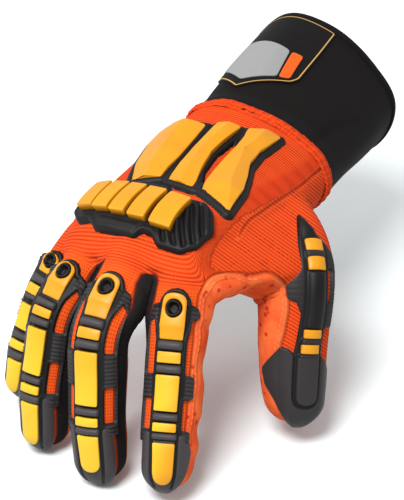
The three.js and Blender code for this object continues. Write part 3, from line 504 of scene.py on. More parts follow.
shell_cloth = {slot: glove_cloth(slot) for slot in ("orange_knit", "orange_suede", "finger_cloth")}
hem_knit = hem_cloth()
foam_cloth = cuff_cloth("cuff_cloth", paint(15, 11, 11), paint(24, 19, 20))
edge_tape = cuff_cloth("binding", paint(14, 11, 11), paint(22, 18, 18))
print("cloth finishes", list(shell_cloth))

# %% [markdown]
# ## Putting a mesh on the glove
# Every piece below is a set of points and faces in millimetres. One function makes the mesh, stores
# the flat place of each vertex for the patterns, hangs the piece on the glove's root and hides the
# solid it stands for.

# %% Add a piece
def add_piece(name, points, faces, nodes, material, fields=None, flat=None, normals=None, merge=0.0):
    mesh = bpy.data.meshes.new(name)
    mesh.from_pydata((np.asarray(points) * MM).tolist(), [], [list(map(int, f)) for f in faces])
    if flat is not None:
        mesh.attributes.new("flat", "FLOAT_VECTOR", "POINT").data.foreach_set("vector",
            np.ascontiguousarray(flat, np.float32).ravel())
    for key, values in (fields or {}).items():
        mesh.attributes.new(key, "FLOAT", "POINT").data.foreach_set("value",
            np.ascontiguousarray(values, np.float32))
    mesh.polygons.foreach_set("use_smooth", [True] * len(mesh.polygons))
    if merge:
        whole = bmesh.new()
        whole.from_mesh(mesh)
        bmesh.ops.remove_doubles(whole, verts=whole.verts, dist=merge * MM)
        whole.to_mesh(mesh)
        whole.free()
    mesh.materials.append(material)
    if normals is not None:
        mesh.normals_split_custom_set_from_vertices(normals.tolist())
    piece = bpy.data.objects.new(name, mesh)
    bpy.context.scene.collection.objects.link(piece)
    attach(piece, "root")
    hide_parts(*nodes)
    return piece


def grid_faces(rows, columns, loop=False, keep=None):
    wide = columns if loop else columns - 1
    i, j = np.meshgrid(np.arange(rows - 1), np.arange(wide), indexing="ij")
    k = (j + 1) % columns
    quads = np.stack([i * columns + j, i * columns + k, (i + 1) * columns + k, (i + 1) * columns + j], -1)
    return quads[keep] if keep is not None else quads.reshape(-1, 4)


def wound_out(points, faces, sweep, s, across, at=None):
    """Turns the faces over if the one at a given place, or the middle one, looks into the cloth."""
    a, b, c = np.asarray(points)[list(faces[len(faces) // 2 if at is None else at][:3])]
    out = sweep.outward(np.array([s]), sweep.turn_across(np.array([s]), np.array([across])))[0]
    return faces if np.dot(np.cross(b - a, c - a), out) > 0 else [list(f)[::-1] for f in faces]


print("piece maker ready")

# %% [markdown]
# ## The cloth shell
# Palm, fingers and thumb are sewn from flat panels, but worn they read as one smooth skin with soft
# webs between the fingers. Separate tubes would show hard creases where they cross. So full tubes
# are laid over each other, the webs are hulls between neighbouring tubes, and a voxel remesh melts
# them all into one skin, which is then smoothed.

# %% Melt the tubes into one skin
def closed_tube(sweep, places, sides, height=0.0):
    turns = np.linspace(0, 2 * math.pi, sides, endpoint=False)
    ring = sweep.point(np.asarray(places)[:, None], turns[None], height)
    points = np.concatenate([ring.reshape(-1, 3), ring[:1].mean(1), ring[-1:].mean(1)])
    faces = grid_faces(len(places), sides, loop=True).tolist()
    last, hub = (len(places) - 1) * sides, len(places) * sides
    faces += [[hub, (j + 1) % sides, j] for j in range(sides)]
    faces += [[hub + 1, last + j, last + (j + 1) % sides] for j in range(sides)]
    return points, faces


def tip_places(sweep, start, step=2.0):
    straight = sweep.to - sweep.tip
    return np.concatenate([np.arange(start, straight, step),
                           straight + sweep.tip * np.sin(np.radians(np.linspace(0, 84, 9)))])


FINGER_ROOT = 34
FINGER_WEBS = {("middle", "index"): 25, ("ring", "middle"): 21, ("little", "ring"): 16}
skin_mesh = bpy.data.meshes.new("skin")
whole = bmesh.new()
for sweep, places in [(palm, np.arange(-8, PALM_LENGTH + WEB_REACH + 0.1, 2.0)),
                      (thumb, tip_places(thumb, 2)),
                      *[(f, tip_places(f, -FINGER_ROOT)) for f in fingers.values()]]:
    points, faces = closed_tube(sweep, places, 72)
    verts = [whole.verts.new(p * MM) for p in points]
    for f in faces:
        whole.faces.new([verts[k] for k in f])
turns = np.linspace(0, 2 * math.pi, 24, endpoint=False)
web = np.concatenate([fingers["index"].point(s, turns) for s in (2, 9, WEB_FROM_INDEX + 6)]
                     + [thumb.point(s, turns) for s in (12, 28, WEB_FROM_THUMB + 5)])
verts = [whole.verts.new(p * MM) for p in web]
hull = bmesh.ops.convex_hull(whole, input=verts)
inner = [v for v in hull["geom_interior"] if isinstance(v, bmesh.types.BMVert)]
for (left, right), reach in FINGER_WEBS.items():  # between two fingers: only their facing sides
    facing = np.radians(np.linspace(58, 138, 7))
    web = np.concatenate([f.point(s, facing * way, -0.6)
                          for f, way in ((fingers[left], 1), (fingers[right], -1))
                          for s in (2, reach / 2, reach)])
    verts = [whole.verts.new(p * MM) for p in web]
    hull = bmesh.ops.convex_hull(whole, input=verts)
    inner += [v for v in hull["geom_interior"] if isinstance(v, bmesh.types.BMVert)]
bmesh.ops.delete(whole, geom=inner, context="VERTS")
bmesh.ops.recalc_face_normals(whole, faces=whole.faces)
whole.to_mesh(skin_mesh)
whole.free()
skin_object = bpy.data.objects.new("skin", skin_mesh)
bpy.context.scene.collection.objects.link(skin_object)
melt = skin_object.modifiers.new("melt", "REMESH")
melt.mode, melt.voxel_size = "VOXEL", 1.1 * MM
ease = skin_object.modifiers.new("ease", "CORRECTIVE_SMOOTH")
ease.iterations, ease.use_only_smooth = 12, True
skin_mesh = bpy.data.meshes.new_from_object(skin_object.evaluated_get(bpy.context.evaluated_depsgraph_get()))
bpy.data.objects.remove(skin_object)
skin = np.zeros(len(skin_mesh.vertices) * 3)
skin_mesh.vertices.foreach_get("co", skin)
skin = skin.reshape(-1, 3) / MM
print("skin", len(skin), "vertices", len(skin_mesh.polygons), "faces")

# %% [markdown]
# Every vertex of the skin then looks up the nearest spot of the tubes it came from. That gives its
# tube, its flat place for the knit's ribs, and its distances to the seams. The search uses a tree of
# sampled spots, since a tube's surface has no formula to turn round.

# %% Find each vertex's tube and flat place
names, spots, flats = [], [], []
for name, sweep, low in [("palm", palm, -8), ("thumb", thumb, 4), *[(n, f, 0) for n, f in fingers.items()]]:
    s, turn = np.meshgrid(np.arange(low, sweep.to if sweep.tip else PALM_LENGTH + WEB_REACH, 1.5),
                          np.radians(np.arange(-180, 180, 6)), indexing="ij")
    spots.append(sweep.skin(s, turn).reshape(-1, 3))
    flats.append(np.stack([s.ravel(), turn.ravel()], -1))
    names += [name] * s.size
spots, flats, names = np.concatenate(spots), np.concatenate(flats), np.array(names)
tree = KDTree(len(spots))
for i, p in enumerate(spots):
    tree.insert(p, i)
tree.balance()
nearest = np.array([tree.find(p)[1] for p in skin])
label, place, turn = names[nearest], flats[nearest, 0].copy(), flats[nearest, 1].copy()
sweeps = {"palm": palm, "thumb": thumb, **fingers}
across = np.zeros(len(skin))
for name, sweep in sweeps.items():
    mine = np.flatnonzero(label == name)
    for _ in range(2):  # slide along the tube's own directions to the exact spot
        s, t = place[mine], turn[mine]
        here = sweep.skin(s, t)
        ds = sweep.skin(s + 0.2, t) - sweep.skin(s - 0.2, t)
        dt = sweep.skin(s, t + 0.02) - sweep.skin(s, t - 0.02)
        off = skin[mine] - here
        place[mine] += np.clip((off * ds).sum(-1) / np.maximum((ds * ds).sum(-1), 1e-9) * 0.4, -2, 2)
        turn[mine] += np.clip((off * dt).sum(-1) / np.maximum((dt * dt).sum(-1), 1e-9) * 0.04, -0.2, 0.2)
    top = sweep.to - sweep.tip
    radius = np.linalg.norm(sweep.skin(np.minimum(place[mine], top), turn[mine])
                            - sweep.skin(np.minimum(place[mine], top), turn[mine] + math.pi), axis=-1) / 2
    across[mine] = turn[mine] * radius
print({name: int((label == name).sum()) for name in sweeps})

# %% [markdown]
# The seams: the backs of the fingers are knit and their palm side suede, with a black wall between
# that starts just before the guard's head and is widest there, where it fills the web. The index
# finger has suede on its outer side in place of the wall, and on the thumb the suede comes round in
# a curve to the corner of its cap.

# %% Measure each vertex to the seams
WALL_TO, WALL_START, FINGER_SPLIT = math.radians(116), 15, 20
FINGER_RADIUS = 12.5  # makes millimetres of a seam's angle
THUMB_RIB_WAY = np.array([0.24, 0.66, 0.71])  # the thumb's ribs lie across this direction


def eased(values, times, where):
    """Each chosen vertex takes the mean of its neighbours, again and again."""
    a, b = links.T
    count = np.bincount(a, minlength=len(values)) + np.bincount(b, minlength=len(values))
    for _ in range(times):
        total = np.bincount(a, values[b], len(values)) + np.bincount(b, values[a], len(values))
        values = np.where(where, total / np.maximum(count, 1), values)
    return values


def seam_to(points, line):
    """How far points lie from a line, and how far along it."""
    best, run, done = np.full(len(points), 99.0), np.zeros(len(points)), 0.0
    for a, b in zip(line[:-1], line[1:]):
        length = np.linalg.norm(b - a)
        share = np.clip((points - a) @ (b - a) / length**2, 0, 1)
        gap = np.linalg.norm(points - a - share[:, None] * (b - a), axis=1)
        run = np.where(gap < best, done + share * length, run)
        best, done = np.minimum(gap, best), done + length
    return best, run


faces = np.array([f if len(f) == 4 else (*f, f[-1]) for f in (tuple(p.vertices) for p in skin_mesh.polygons)])
links = np.concatenate([faces[:, [k, (k + 1) % 4]] for k in range(4)])
links = np.unique(np.sort(links[links[:, 0] != links[:, 1]], axis=1), axis=0)
suede, black = np.full(len(skin), -9.0), np.full(len(skin), -9.0)
rib, mesh_field = place.copy(), np.zeros(len(skin))
for name, sweep in sweeps.items():
    mine = label == name
    s, t, a = place[mine], turn[mine], across[mine]
    if name == "palm":
        suede[mine] = (np.abs(t) - math.radians(98) - math.radians(9) * smooth(60, 80, s) * (t > 0)) * 30
        rib[mine] = s + 0.02 * np.maximum(a - 16, 0) ** 2 * smooth(60, 84, s)
    elif name == "thumb":
        edge = along_table([0, 30, 40, 49, 61, 74, 84, 96, 130],
                           [-39, -38, -34, -17, -11, -11.5, -13, -7, -6], s)
        suede[mine] = np.maximum(edge - a, a - 19)
    else:
        wall = np.minimum(np.abs(a - 3.5) - (10.6 + 2.4 * smooth(24, 38, s)) * FINGERS[name]["width"]
                          / 25.4, (WALL_TO - np.abs(t)) * FINGER_RADIUS)
        wall = np.minimum(wall, s - WALL_START)
        inner = (np.abs(t) - WALL_TO) * FINGER_RADIUS
        if name == "index":
            edge = math.radians(106) - math.radians(42) * smooth(0, 24, s)
            wall, inner = np.where(t > 0, -9.0, wall), np.where(t > 0, (t - edge) * FINGER_RADIUS, inner)
        black[mine], suede[mine] = wall, inner
        mesh_field[mine] = smooth(17, 23, s)
        pairs = links[(label[links] == name).any(1) & (label[links] == "palm").any(1)
                      & (np.abs(turn[links]) < 1.6).all(1)]
        lift = [abs(place[i] - place[j]) if label[i] == "palm" else abs(place[j] - place[i])
                for i, j in pairs]
        rib[mine] = s + (float(np.median(lift)) if lift else PALM_LENGTH + 10)
suede = eased(suede, 30, (label == "thumb") & (place < 60) | (label == "palm") & (place > 55)
              | (label == "index") & (place < 22))
black = eased(black, 14, (label != "thumb") & (label != "palm") & (place < 24))
rib = eased(rib, 40, (place < 24) & (label != "thumb") | (label == "palm") & (place > 70))
reach = np.linspace(1, 96, 24)
diagonal = palm.place(reach, along_table([1, 29.5, 58.5, 76, 96], [34.5, 37.5, 42, 45.5, 57], reach))
crotch = thumb.place(np.array([36.0, 44.0, 52.0, 62.0]), np.array([-24.0, -21.0, -21.5, -24.0]))
seam, run = seam_to(skin, diagonal)
thumb_side = (label == "thumb") | (label == "palm") & (across > along_table([-20, 1, 29.5, 58.5, 76, 96,
    130], [34, 34.5, 37.5, 42, 45.5, 57, 80], place))
rib = np.where(thumb_side, skin @ THUMB_RIB_WAY, rib)
plain = np.where((label == "palm") & ~thumb_side, smooth(70, 60, place) * smooth(20, 26, across), 0.0)
print("suede", int((suede > 0).sum()), "black", int((black > 0).sum()), "links", len(links))

# %% [markdown]
# Worn cloth is never smooth. Shallow folds cross the suede and the black walls at the joints, the
# suede swells on the sides of thumb and index finger that face each other, and a crease runs down
# between thumb and palm. All are moved into the mesh itself, so they also show from the side, while
# the parts under the guards stay calm. A thumb cap laid on a swell is lifted by the same sum.

# %% Fold the skin and cut it into its panels
def ripple(points, size, seed):
    """Soft uneven waves through space, about 1 high."""
    phase = points @ turn_z(seed) @ turn_x(seed * 1.7) / size
    broad = np.sin(phase[:, 0]) * np.sin(phase[:, 1] * 1.3 + seed)
    return broad + 0.5 * np.sin(phase[:, 0] * 2.1 + phase[:, 2] * 1.9)


def normals_of(mesh):
    out = np.zeros(len(mesh.vertices) * 3)
    mesh.vertices.foreach_get("normal", out)
    return out.reshape(-1, 3)


def bulge(points, centre, reach, height):
    """A round swell that fades out over its reach."""
    return height * np.exp(-(np.linalg.norm(points - centre, axis=1) / reach) ** 2)


THUMB_SWELLS = ((52, -96, 11, 4.0), (66, -92, 12, 4.8), (80, -92, 10, 3.6), (93, -98, 10, 3.4),
                (104, -98, 9, 1.6))


def thumb_swell(points):
    """How far the thumb's suede side stands out; its cap stands out with it."""
    return sum(bulge(points, thumb.point(float(s), math.radians(deg)), reach, height)
               for s, deg, reach, height in THUMB_SWELLS)


out = normals_of(skin_mesh)
soft = np.clip(np.maximum(suede, black) / 3, 0, 1)
push = soft * (ripple(skin, 3.4, 2.0) * 0.22 + ripple(skin, 8.0, 4.0) * 0.35)
push += np.where((label == "index") & (suede > -1),
                 smooth(-1, 5, suede) * smooth(10, 20, place) * smooth(104, 92, place)
                 * (1.5 + 0.45 * np.sin(place / 5.1 + 1) + 0.35 * np.sin(place / 2.3)
                    + 0.3 * ripple(skin, 2.6, 1.0)), 0)
push -= np.where((label == "index") & (suede > 0), 1.3 * np.exp(-((place - 38 + suede * 0.25) / 1.1) ** 2), 0)
push += bulge(skin, fingers["index"].point(22.0, math.radians(104)), 6.5, 4.2)
push += thumb_swell(skin) + np.where(black > 0,
                                     bulge(skin, fingers["middle"].point(31.0, math.radians(96)), 12, 4.5), 0)
push -= 2.4 * np.exp(-(seam_to(skin, crotch)[0] / 1.8) ** 2) + 0.4 * np.exp(-(seam / 0.8) ** 2)
push += 0.2 * np.exp(-((seam - 1.8) / 1.2) ** 2) - 0.35 * np.exp(-(suede / 0.7) ** 2)
push = eased(eased(push, 3, np.ones(len(skin), bool)), 10, (label == "index") & (place < 29)
             | (label == "palm") & (place > 70))
skin = skin + out * push[:, None]
for _ in range(6):  # a vertex that sticks out like a thorn goes back among its neighbours
    level = np.stack([eased(skin[:, k], 1, np.ones(len(skin), bool)) for k in range(3)], axis=1)
    skin = np.where(np.linalg.norm(level - skin, axis=1)[:, None] > 0.3, level, skin)
skin_mesh.vertices.foreach_set("co", (skin * MM).ravel())
skin_mesh.update()
out = normals_of(skin_mesh)
first = faces[:, 0]
home = np.where(suede[first] > 0, "palm_panel", "back_panel").astype(object)
for name in FINGERS:
    home[(label[first] == name) & (place[first] > FINGER_SPLIT)] = name + "_stall"
home[(label[first] == "thumb") & (place[first] > THUMB_SPLIT)] = "thumb_stall"
home[(label[first] == "palm") & (place[first] < -2)] = "cut away"
SLOTS = {"back_panel": "orange_knit", "palm_panel": "orange_suede", "thumb_stall": "orange_suede"}
flat_place = np.stack([place, across, np.zeros(len(skin))], -1)
fields = {"suede": suede, "black": black, "rib": rib, "mesh": mesh_field, "plain": plain, "seam": seam,
          "run": run}
for node in sorted(set(home) - {"cut away"}):
    part = faces[home == node]
    used, index = np.unique(part, return_inverse=True)
    index = index.reshape(part.shape)
    n = len(used)
    edges = np.concatenate([index[:, [k, (k + 1) % 4]] for k in range(4)])
    edges = edges[edges[:, 0] != edges[:, 1]]
    keys = edges.min(1) * n + edges.max(1)
    unique, where, count = np.unique(keys, return_index=True, return_counts=True)
    rim = edges[where[count == 1]]
    walls = np.stack([rim[:, 1], rim[:, 0], rim[:, 0] + n, rim[:, 1] + n], -1)
    quads = [list(dict.fromkeys(f)) for f in np.concatenate([index, index[:, ::-1] + n, walls]).tolist()]
    slot = SLOTS.get(node, "finger_cloth")
    piece = add_piece(node + "_cloth", np.concatenate([skin[used], skin[used] - out[used] * CLOTH]), quads,
                      [node],
                      shell_cloth[slot], fields={key: np.tile(values[used], 2)
                          for key, values in fields.items()},
                      flat=np.tile(flat_place[used], (2, 1)), normals=np.concatenate([out[used], -out[used]]))
    print(piece.name, len(piece.data.polygons), "faces")
bpy.data.meshes.remove(skin_mesh)

# %% [markdown]
# ## Moulded guards as raised sheets
# A guard is one moulding with ribs, rims and windows. Cutting these into a block with booleans gives
# ragged edges on a curved finger. Instead the guard is a fine flat grid with a height for each spot,
# worked out from distances to simple outlines, and the grid is then wrapped onto the finger. Where
# the height falls under the cloth the guard ends, so the cloth itself cuts its edge.

# %% Write the outline distance and the raised sheet
def inside(outline, s, a):
    """Distance to a closed outline, more than 0 inside it."""
    outline = np.asarray(outline, float)
    best, odd = np.full(s.shape, 1e9), np.zeros(s.shape, bool)
    for (s0, a0), (s1, a1) in zip(outline, np.roll(outline, -1, 0)):
        t = np.clip(((s - s0) * (s1 - s0) + (a - a0) * (a1 - a0)) / max((s1 - s0) ** 2 + (a1 - a0) ** 2,
            1e-9), 0, 1)
        best = np.minimum(best, np.hypot(s - s0 - t * (s1 - s0), a - a0 - t * (a1 - a0)))
        crosses = (a0 > a) != (a1 > a)
        with np.errstate(divide="ignore", invalid="ignore"):
            odd ^= crosses & (s < (s1 - s0) * (a - a0) / (a1 - a0) + s0)
    return np.where(odd, best, -best)


def shoulder(distance, radius):
    """0 outside an edge, 1 well inside it, round between."""
    t = np.clip(distance / radius, 0, 1)
    return np.sqrt(1 - (1 - t) ** 2)


UNDER = -0.9  # a raised sheet ends this far under the cloth


def raised_sheet(name, sweep, s_span, a_span, height, depth, nodes, material, cell=0.5, shift=None,
                 fields=None):
    s, a = np.meshgrid(np.arange(s_span[0], s_span[1] + cell / 2, cell),
                       np.arange(a_span[0], a_span[1] + cell / 2, cell), indexing="ij")
    edge = depth(s, a)
    rise = UNDER + (height(s, a) - UNDER) * shoulder(edge + 0.35, 1.1)
    moved = a + (shift(s) if shift else 0)
    points = sweep.place(s, moved, rise)
    near = edge > -1.4
    keep = near[:-1, :-1] | near[1:, :-1] | near[:-1, 1:] | near[1:, 1:]
    quads = grid_faces(*s.shape, keep=keep)
    used, index = np.unique(quads, return_inverse=True)
    quads = index.reshape(quads.shape).tolist()
    points, flat = points.reshape(-1, 3)[used], np.stack([s, a, rise], -1).reshape(-1, 3)[used]
    middle = quads[len(quads) // 2][0]
    quads = wound_out(points, quads, sweep, flat[middle, 0],
                      flat[middle, 1] + (float(shift(flat[middle, 0])) if shift else 0))
    values = {key: f(s, a).ravel()[used] for key, f in (fields or {}).items()}
    return add_piece(name, points, quads, nodes, material, flat=flat, fields=values)


print("raised sheets ready")

# %% [markdown]
# ## Pads with crisp tops
# The yellow pads stand on the black mouldings with a sharp wall, a small round edge and a gently
# crowned top. Each is laid out as an outline in s and across, and rings of it are drawn in towards a
# line down its middle: two rings for the wall, four round the edge and the rest over the top.

# %% Write the outline rounder and the pad
def rounded(corners, radius=1.0, spacing=1.0):
    corners, line = np.asarray(corners, float), []
    radii = np.broadcast_to(np.asarray(radius, float), (len(corners),))
    for before, here, after, r in zip(np.roll(corners, 1, 0), corners, np.roll(corners, -1, 0), radii):
        into, away = before - here, after - here
        a, b = here + into * min(r / np.linalg.norm(into),
                                 0.5), here + away * min(r / np.linalg.norm(away), 0.5)
        t = np.linspace(0, 1, 6)[:, None]
        line.append((1 - t) ** 2 * a + 2 * t * (1 - t) * here + t**2 * b)
    line = np.concatenate(line)
    kept = []
    for p, q in zip(line, np.roll(line, -1, 0)):
        steps = max(int(np.linalg.norm(q - p) / spacing), 1)
        if np.linalg.norm(q - p) > 1e-6:
            kept += [p + (q - p) * k / steps for k in range(steps)]
    return np.array(kept)


def towards(outline, spine):
    best, gap = np.zeros_like(outline), np.full(len(outline), 1e9)
    for p, q in zip(spine[:-1], spine[1:]):
        p, q = np.asarray(p, float), np.asarray(q, float)
        t = np.clip((outline - p) @ (q - p) / max((q - p) @ (q - p), 1e-9), 0, 1)[:, None]
        spot = p + t * (q - p)
        d = np.linalg.norm(outline - spot, axis=1)
        best[d < gap], gap[d < gap] = spot[d < gap], d[d < gap]
    return best


def raised_pad(name, sweep, outline, core, low, top, nodes, slot, material, edge=0.55, crown=0.3,
               shape=None, rings=6, open_core=False):
    gap = np.linalg.norm(core - outline, axis=1)[:, None]
    way = (core - outline) / np.maximum(gap, 1e-6)
    shape = shape or (lambda s, a: 0.0 * s)
    steps = [(0 * gap, low, 0), (0 * gap, top - edge, 1)]
    steps += [(edge * (1 - math.cos(k)), top - edge + edge * math.sin(k), 1)
              for k in np.radians((30, 60, 90))]
    for k in range(1, rings + 1):
        share = k / rings
        arch = 4 * share * (1 - share) if open_core else 1 - (1 - share) ** 2
        end = gap - edge if open_core else gap
        steps.append((edge + (end - edge) * share, top + crown * arch, 1))
    if open_core:
        steps += [(gap - edge * (1 - math.cos(k)), top - edge + edge * math.sin(k), 1)
                  for k in np.radians((60, 30, 0))]
        steps.append((gap, low, 0))
    places, heights = [], []
    for inset, height, shaped in steps:
        spot = outline + way * np.minimum(inset, gap)
        places.append(spot)
        heights.append(height + shaped * shape(spot[:, 0], spot[:, 1]))
    places, heights = np.array(places), np.array([np.broadcast_to(h, (len(outline),)) for h in heights])
    points = sweep.place(places[..., 0], places[..., 1], heights).reshape(-1, 3)
    faces = grid_faces(len(steps), len(outline), loop=True).tolist()
    if not open_core:
        faces.append(list(range(len(outline)))[::-1])
    middle = (len(steps) // 2) * len(outline)
    flat = np.concatenate([places, heights[..., None]], -1).reshape(-1, 3)
    faces = wound_out(points, faces, sweep, *flat[faces[middle][0], :2], at=middle)
    return add_piece(name, points, faces, nodes, material, flat=flat, merge=0.02)


print("pads ready")

# %% [markdown]
# ## Finger guards
# From the knuckle down each guard has a rounded head round an eyelet, ribbed flanks with two windows
# a side, and black bars between the yellow pads. The places of the bars and pads along each finger
# are a short table, because every finger's joints sit a little differently.

# %% Set the places along each finger
GUARD_SHIFT, GUARD_TOP, BAR_TOP = 3.5, 1.8, 3.9
PAD_HALF, STRIP_HALF, WINDOW_TO, RIM_TO = 4.6, 7.2, 12.8, 13.8  # from the guard's middle, on a 25.4 mm finger
# head, eyelet, knuckle pad's end, bar, band, bar, long pad's two ends, bar, band, bar, tip pad's two ends
PLACES = {
    "index": (20.6, 30, 44, 46.4, 51.5, 56.6, 59.2, 75.7, 78.3, 82.8, 86.8, 90.3, 107.4),
    "middle": (24, 32.8, 46, 47.9, 51, 54.1, 56.1, 79.9, 83, 87.4, 91.5, 94.2, 111),
    "ring": (23.7, 30.8, 42.8, 45, 47.9, 51, 53.2, 74.5, 77.2, 81.2, 85.2, 87.8, 106.7),
    "little": (20, 26, 32.1, 35.3, 39.5, 42.5, 45.9, 58.3, 61.3, 65.3, 69.6, 72.6, 86.6),
}


def finger_scale(name):
    return FINGERS[name]["width"] / 25.4


def bar_rise(s, a, middle, half, reach):
    """A half-round bar across the guard."""
    return np.sqrt(np.clip(1 - ((s - middle) / half) ** 2, 0, 1)) * shoulder(reach - np.abs(a), 1.2)


def guard_windows(name, k):
    head, eyelet, end, bar1, band1, bar2, long0, long1, bar3, band2, bar4, tip0, tip1 = PLACES[name]
    low, high = STRIP_HALF * k, WINDOW_TO * k
    upper = [(eyelet + 3.5, low * 1.3), (eyelet + 7, high), (bar2 + 2.8, high), (bar2 + 2.8, low),
             (bar1 - 3, low)]
    middle = long0 + (long1 - long0) * 0.66
    lower = [(middle, low), (middle, high), (band2 + 1.5, high), (band2 + 1.5, low)]
    return [rounded(w, 1.5) for w in (upper, lower)]


def guard_outline(name, k):
    """A guard's outline from half of it for each side; the index finger's outer windows have no rim."""
    head, eyelet, end, bar1, band1, bar2, long0, long1, bar3, band2, bar4, tip0, tip1 = PLACES[name]
    top = [(head, 0.1), (head + 0.6, 2.8), (head + 2.2, 4.8), (head + 4.6, 6.3), (eyelet - 2.5, 7),
           (eyelet - 1.5, 10), (eyelet + 1, 12.4)]
    closed = top + [(eyelet + 5, RIM_TO), (bar4 + 3, RIM_TO)]
    middle = long0 + (long1 - long0) * 0.66
    open_side = top + [(eyelet + 3, 12.4), (eyelet + 5, 8.2), (bar2 + 2, 8.0), (bar2 + 3.4, 12.2),
                       (middle - 1, 12.2), (middle + 0.5, 8),
                       (band2 + 1, 8), (band2 + 2, 11.5), (bar4 + 3, 11.5)]
    right = open_side if name == "index" else closed
    return [(s, a * k) for s, a in right] + [(s, -a * k) for s, a in closed[::-1]]


def add_guard(name):
    head, eyelet, end, bar1, band1, bar2, long0, long1, bar3, band2, bar4, tip0, tip1 = PLACES[name]
    k = finger_scale(name)
    windows, outline, bars = guard_windows(name, k), guard_outline(name, k), ((bar1, band1 - bar1),
        (bar2, bar2 - band1), (bar3, band2 - bar3), (bar4, bar4 - band2))

    def window(s, a):
        return np.maximum(inside(windows[0], s, np.abs(a)), inside(windows[1], s, np.abs(a)))

    def on_bars(s, a):
        return np.maximum.reduce([bar_rise(s, a, middle, gap * 0.42, 5.2 * k) for middle, gap in bars])

    def on_flank(s, a):
        return smooth(STRIP_HALF * k - 0.2, STRIP_HALF * k + 0.4, np.abs(a)) * smooth(RIM_TO * k - 0.5,
            RIM_TO * k - 1.2, np.abs(a)) * smooth(eyelet - 2, eyelet, s)

    def height(s, a):
        ribs = 0.28 * np.sin(s * 2 * math.pi / 1.9) * smooth(0.5, 1.4, -window(s, a))
        rise = GUARD_TOP - 0.3 + on_flank(s, a) * (0.1 + ribs) + 0.3 * smooth(1.0, 0.3,
            np.abs(window(s, a) + 0.7))
        rise = rise - 0.8 * smooth(RIM_TO * k - 3.2, RIM_TO * k - 0.6, np.abs(a))
        rise = rise + 0.9 * smooth(2.6, 1.6, inside(outline, s, a)) * smooth(head + 10, head + 8, s)
        rise = np.maximum(rise, GUARD_TOP - 0.4 + (BAR_TOP - GUARD_TOP + 0.4) * on_bars(s, a))
        ring = np.hypot((s - eyelet) / 1.3, a)
        cup = 4.3 * smooth(3.2 * k, 2.8 * k, ring) * smooth(1.5 * k, 2.3 * k, ring)
        return np.where(ring < 3.2 * k, np.maximum(0.9, cup), rise)

    # Painted highlight: a lighter grey goes on the raised bars and, in stripes, on the rib crests of the
    # flanks.
    def highlight_and_grey(s, a):
        return np.maximum(smooth(0.25, 0.7, on_bars(s, a)),
                          on_flank(s, a) * (0.45 + 0.25 * np.sin(s * 2 * math.pi / 1.9)))

    return raised_sheet(name + "_guard_moulding", fingers[name], (head - 1.5, bar4 + 3),
                        (-15.2 * k, 15.2 * k), height,
                        lambda s, a: np.minimum(inside(outline, s, a), -window(s, a)), [name + "_guard"],
                        black_rubber,
                        cell=0.45, shift=lambda s: GUARD_SHIFT + 0 * s, fields={"highlight_and_grey": highlight_and_grey})


for name in FINGERS:
    piece = add_guard(name)
    print(piece.name, len(piece.data.polygons), "faces")

# %% [markdown]
# The yellow pads of a finger: a long knuckle pad with a round head and a hole for the eyelet, a band
# over each joint, a long pad between, and a pad on the fingertip cap that ends in a half circle.

# %% Add the finger pads
def box_outline(s0, s1, half, radius, shift=0.0, taper=1.0):
    return rounded([(s0, shift - half), (s0, shift + half), (s1, shift + half * taper),
                    (s1, shift - half * taper)], radius)


def plain_pad(name, sweep, outline, spine, node, low=1.2, top=3.8, **more):
    return raised_pad(name, sweep, outline, towards(outline, spine), low, top, [node], "yellow_rubber",
                      yellow_rubber, **more)


def add_pads(name):
    head, eyelet, end, bar1, band1, bar2, long0, long1, bar3, band2, bar4, tip0, tip1 = PLACES[name]
    sweep, k, m = fingers[name], finger_scale(name), GUARD_SHIFT
    half = PAD_HALF * k
    corners = [(head + 2.4, m - half * 0.98), (head + 2.4, m + half * 0.98), (end, m + half * 1.08),
               (end, m - half * 1.08)]
    outline = rounded(corners, [4.5 * k, 4.5 * k, 0.8, 0.8])
    angle = np.arctan2(outline[:, 1] - m, (outline[:, 0] - eyelet) / 1.3)
    hole = np.stack([eyelet + 1.3 * 3.3 * k * np.cos(angle), m + 3.3 * k * np.sin(angle)], -1)
    raised_pad(name + "_knuckle_pad_moulding", sweep, outline, hole, 1.2, 3.9, [name + "_knuckle_pad"],
               "yellow_rubber", yellow_rubber,
               shape=lambda s, a: -1.7 * smooth(end - 6, end - 4.5, s) * smooth(end - 8, end, s),
               open_core=True, rings=9, crown=0.1)
    for part, middle, reach in (("middle_band", band1, (band1 - bar1) * 0.46),
                                ("end_band", band2, (band2 - bar3) * 0.42)):
        outline = box_outline(middle - reach, middle + reach, half, 0.6, m)
        plain_pad(f"{name}_{part}_moulding", sweep, outline,
                  [(middle, m - half + reach), (middle, m + half - reach)], f"{name}_{part}",
                  top=3.6, crown=0.15, edge=0.45)
    outline = box_outline(long0, long1, half, 0.7, m, 0.97)
    plain_pad(name + "_long_pad_moulding", sweep, outline,
              [(long0 + half, m), (max(long1 - half, long0 + half + 0.5), m)],
              name + "_long_pad", top=3.9, crown=0.25, edge=0.45)
    corners = [(tip0 - 0.6, m - half * 0.97), (tip0 - 0.6, m + half * 0.97), (tip1, m + half * 0.86),
               (tip1, m - half * 0.86)]
    outline = rounded(corners, [0.7, 0.7, 3.9 * k, 3.9 * k])
    plain_pad(name + "_tip_pad_moulding", sweep, outline, [(tip0 + half, m), (tip1 - half, m)],
              name + "_tip_pad", low=0.4, top=3.3,
              crown=0.25, edge=0.45)


for name in FINGERS:
    add_pads(name)

# %% [markdown]
# ## Fingertip caps
# Each fingertip wears a smooth dark grey cap that wraps the tip. Its edge is an outline like those
# of the guards, which runs on past the tip. A grid in s and turn follows the tip's own rounding all
# the way to its end, and a groove is drawn beside the strip that carries the tip pad. The groove is
# sunk in and darkened with painted shade.

# %% Add the caps
CAP_REACH = math.radians(128)


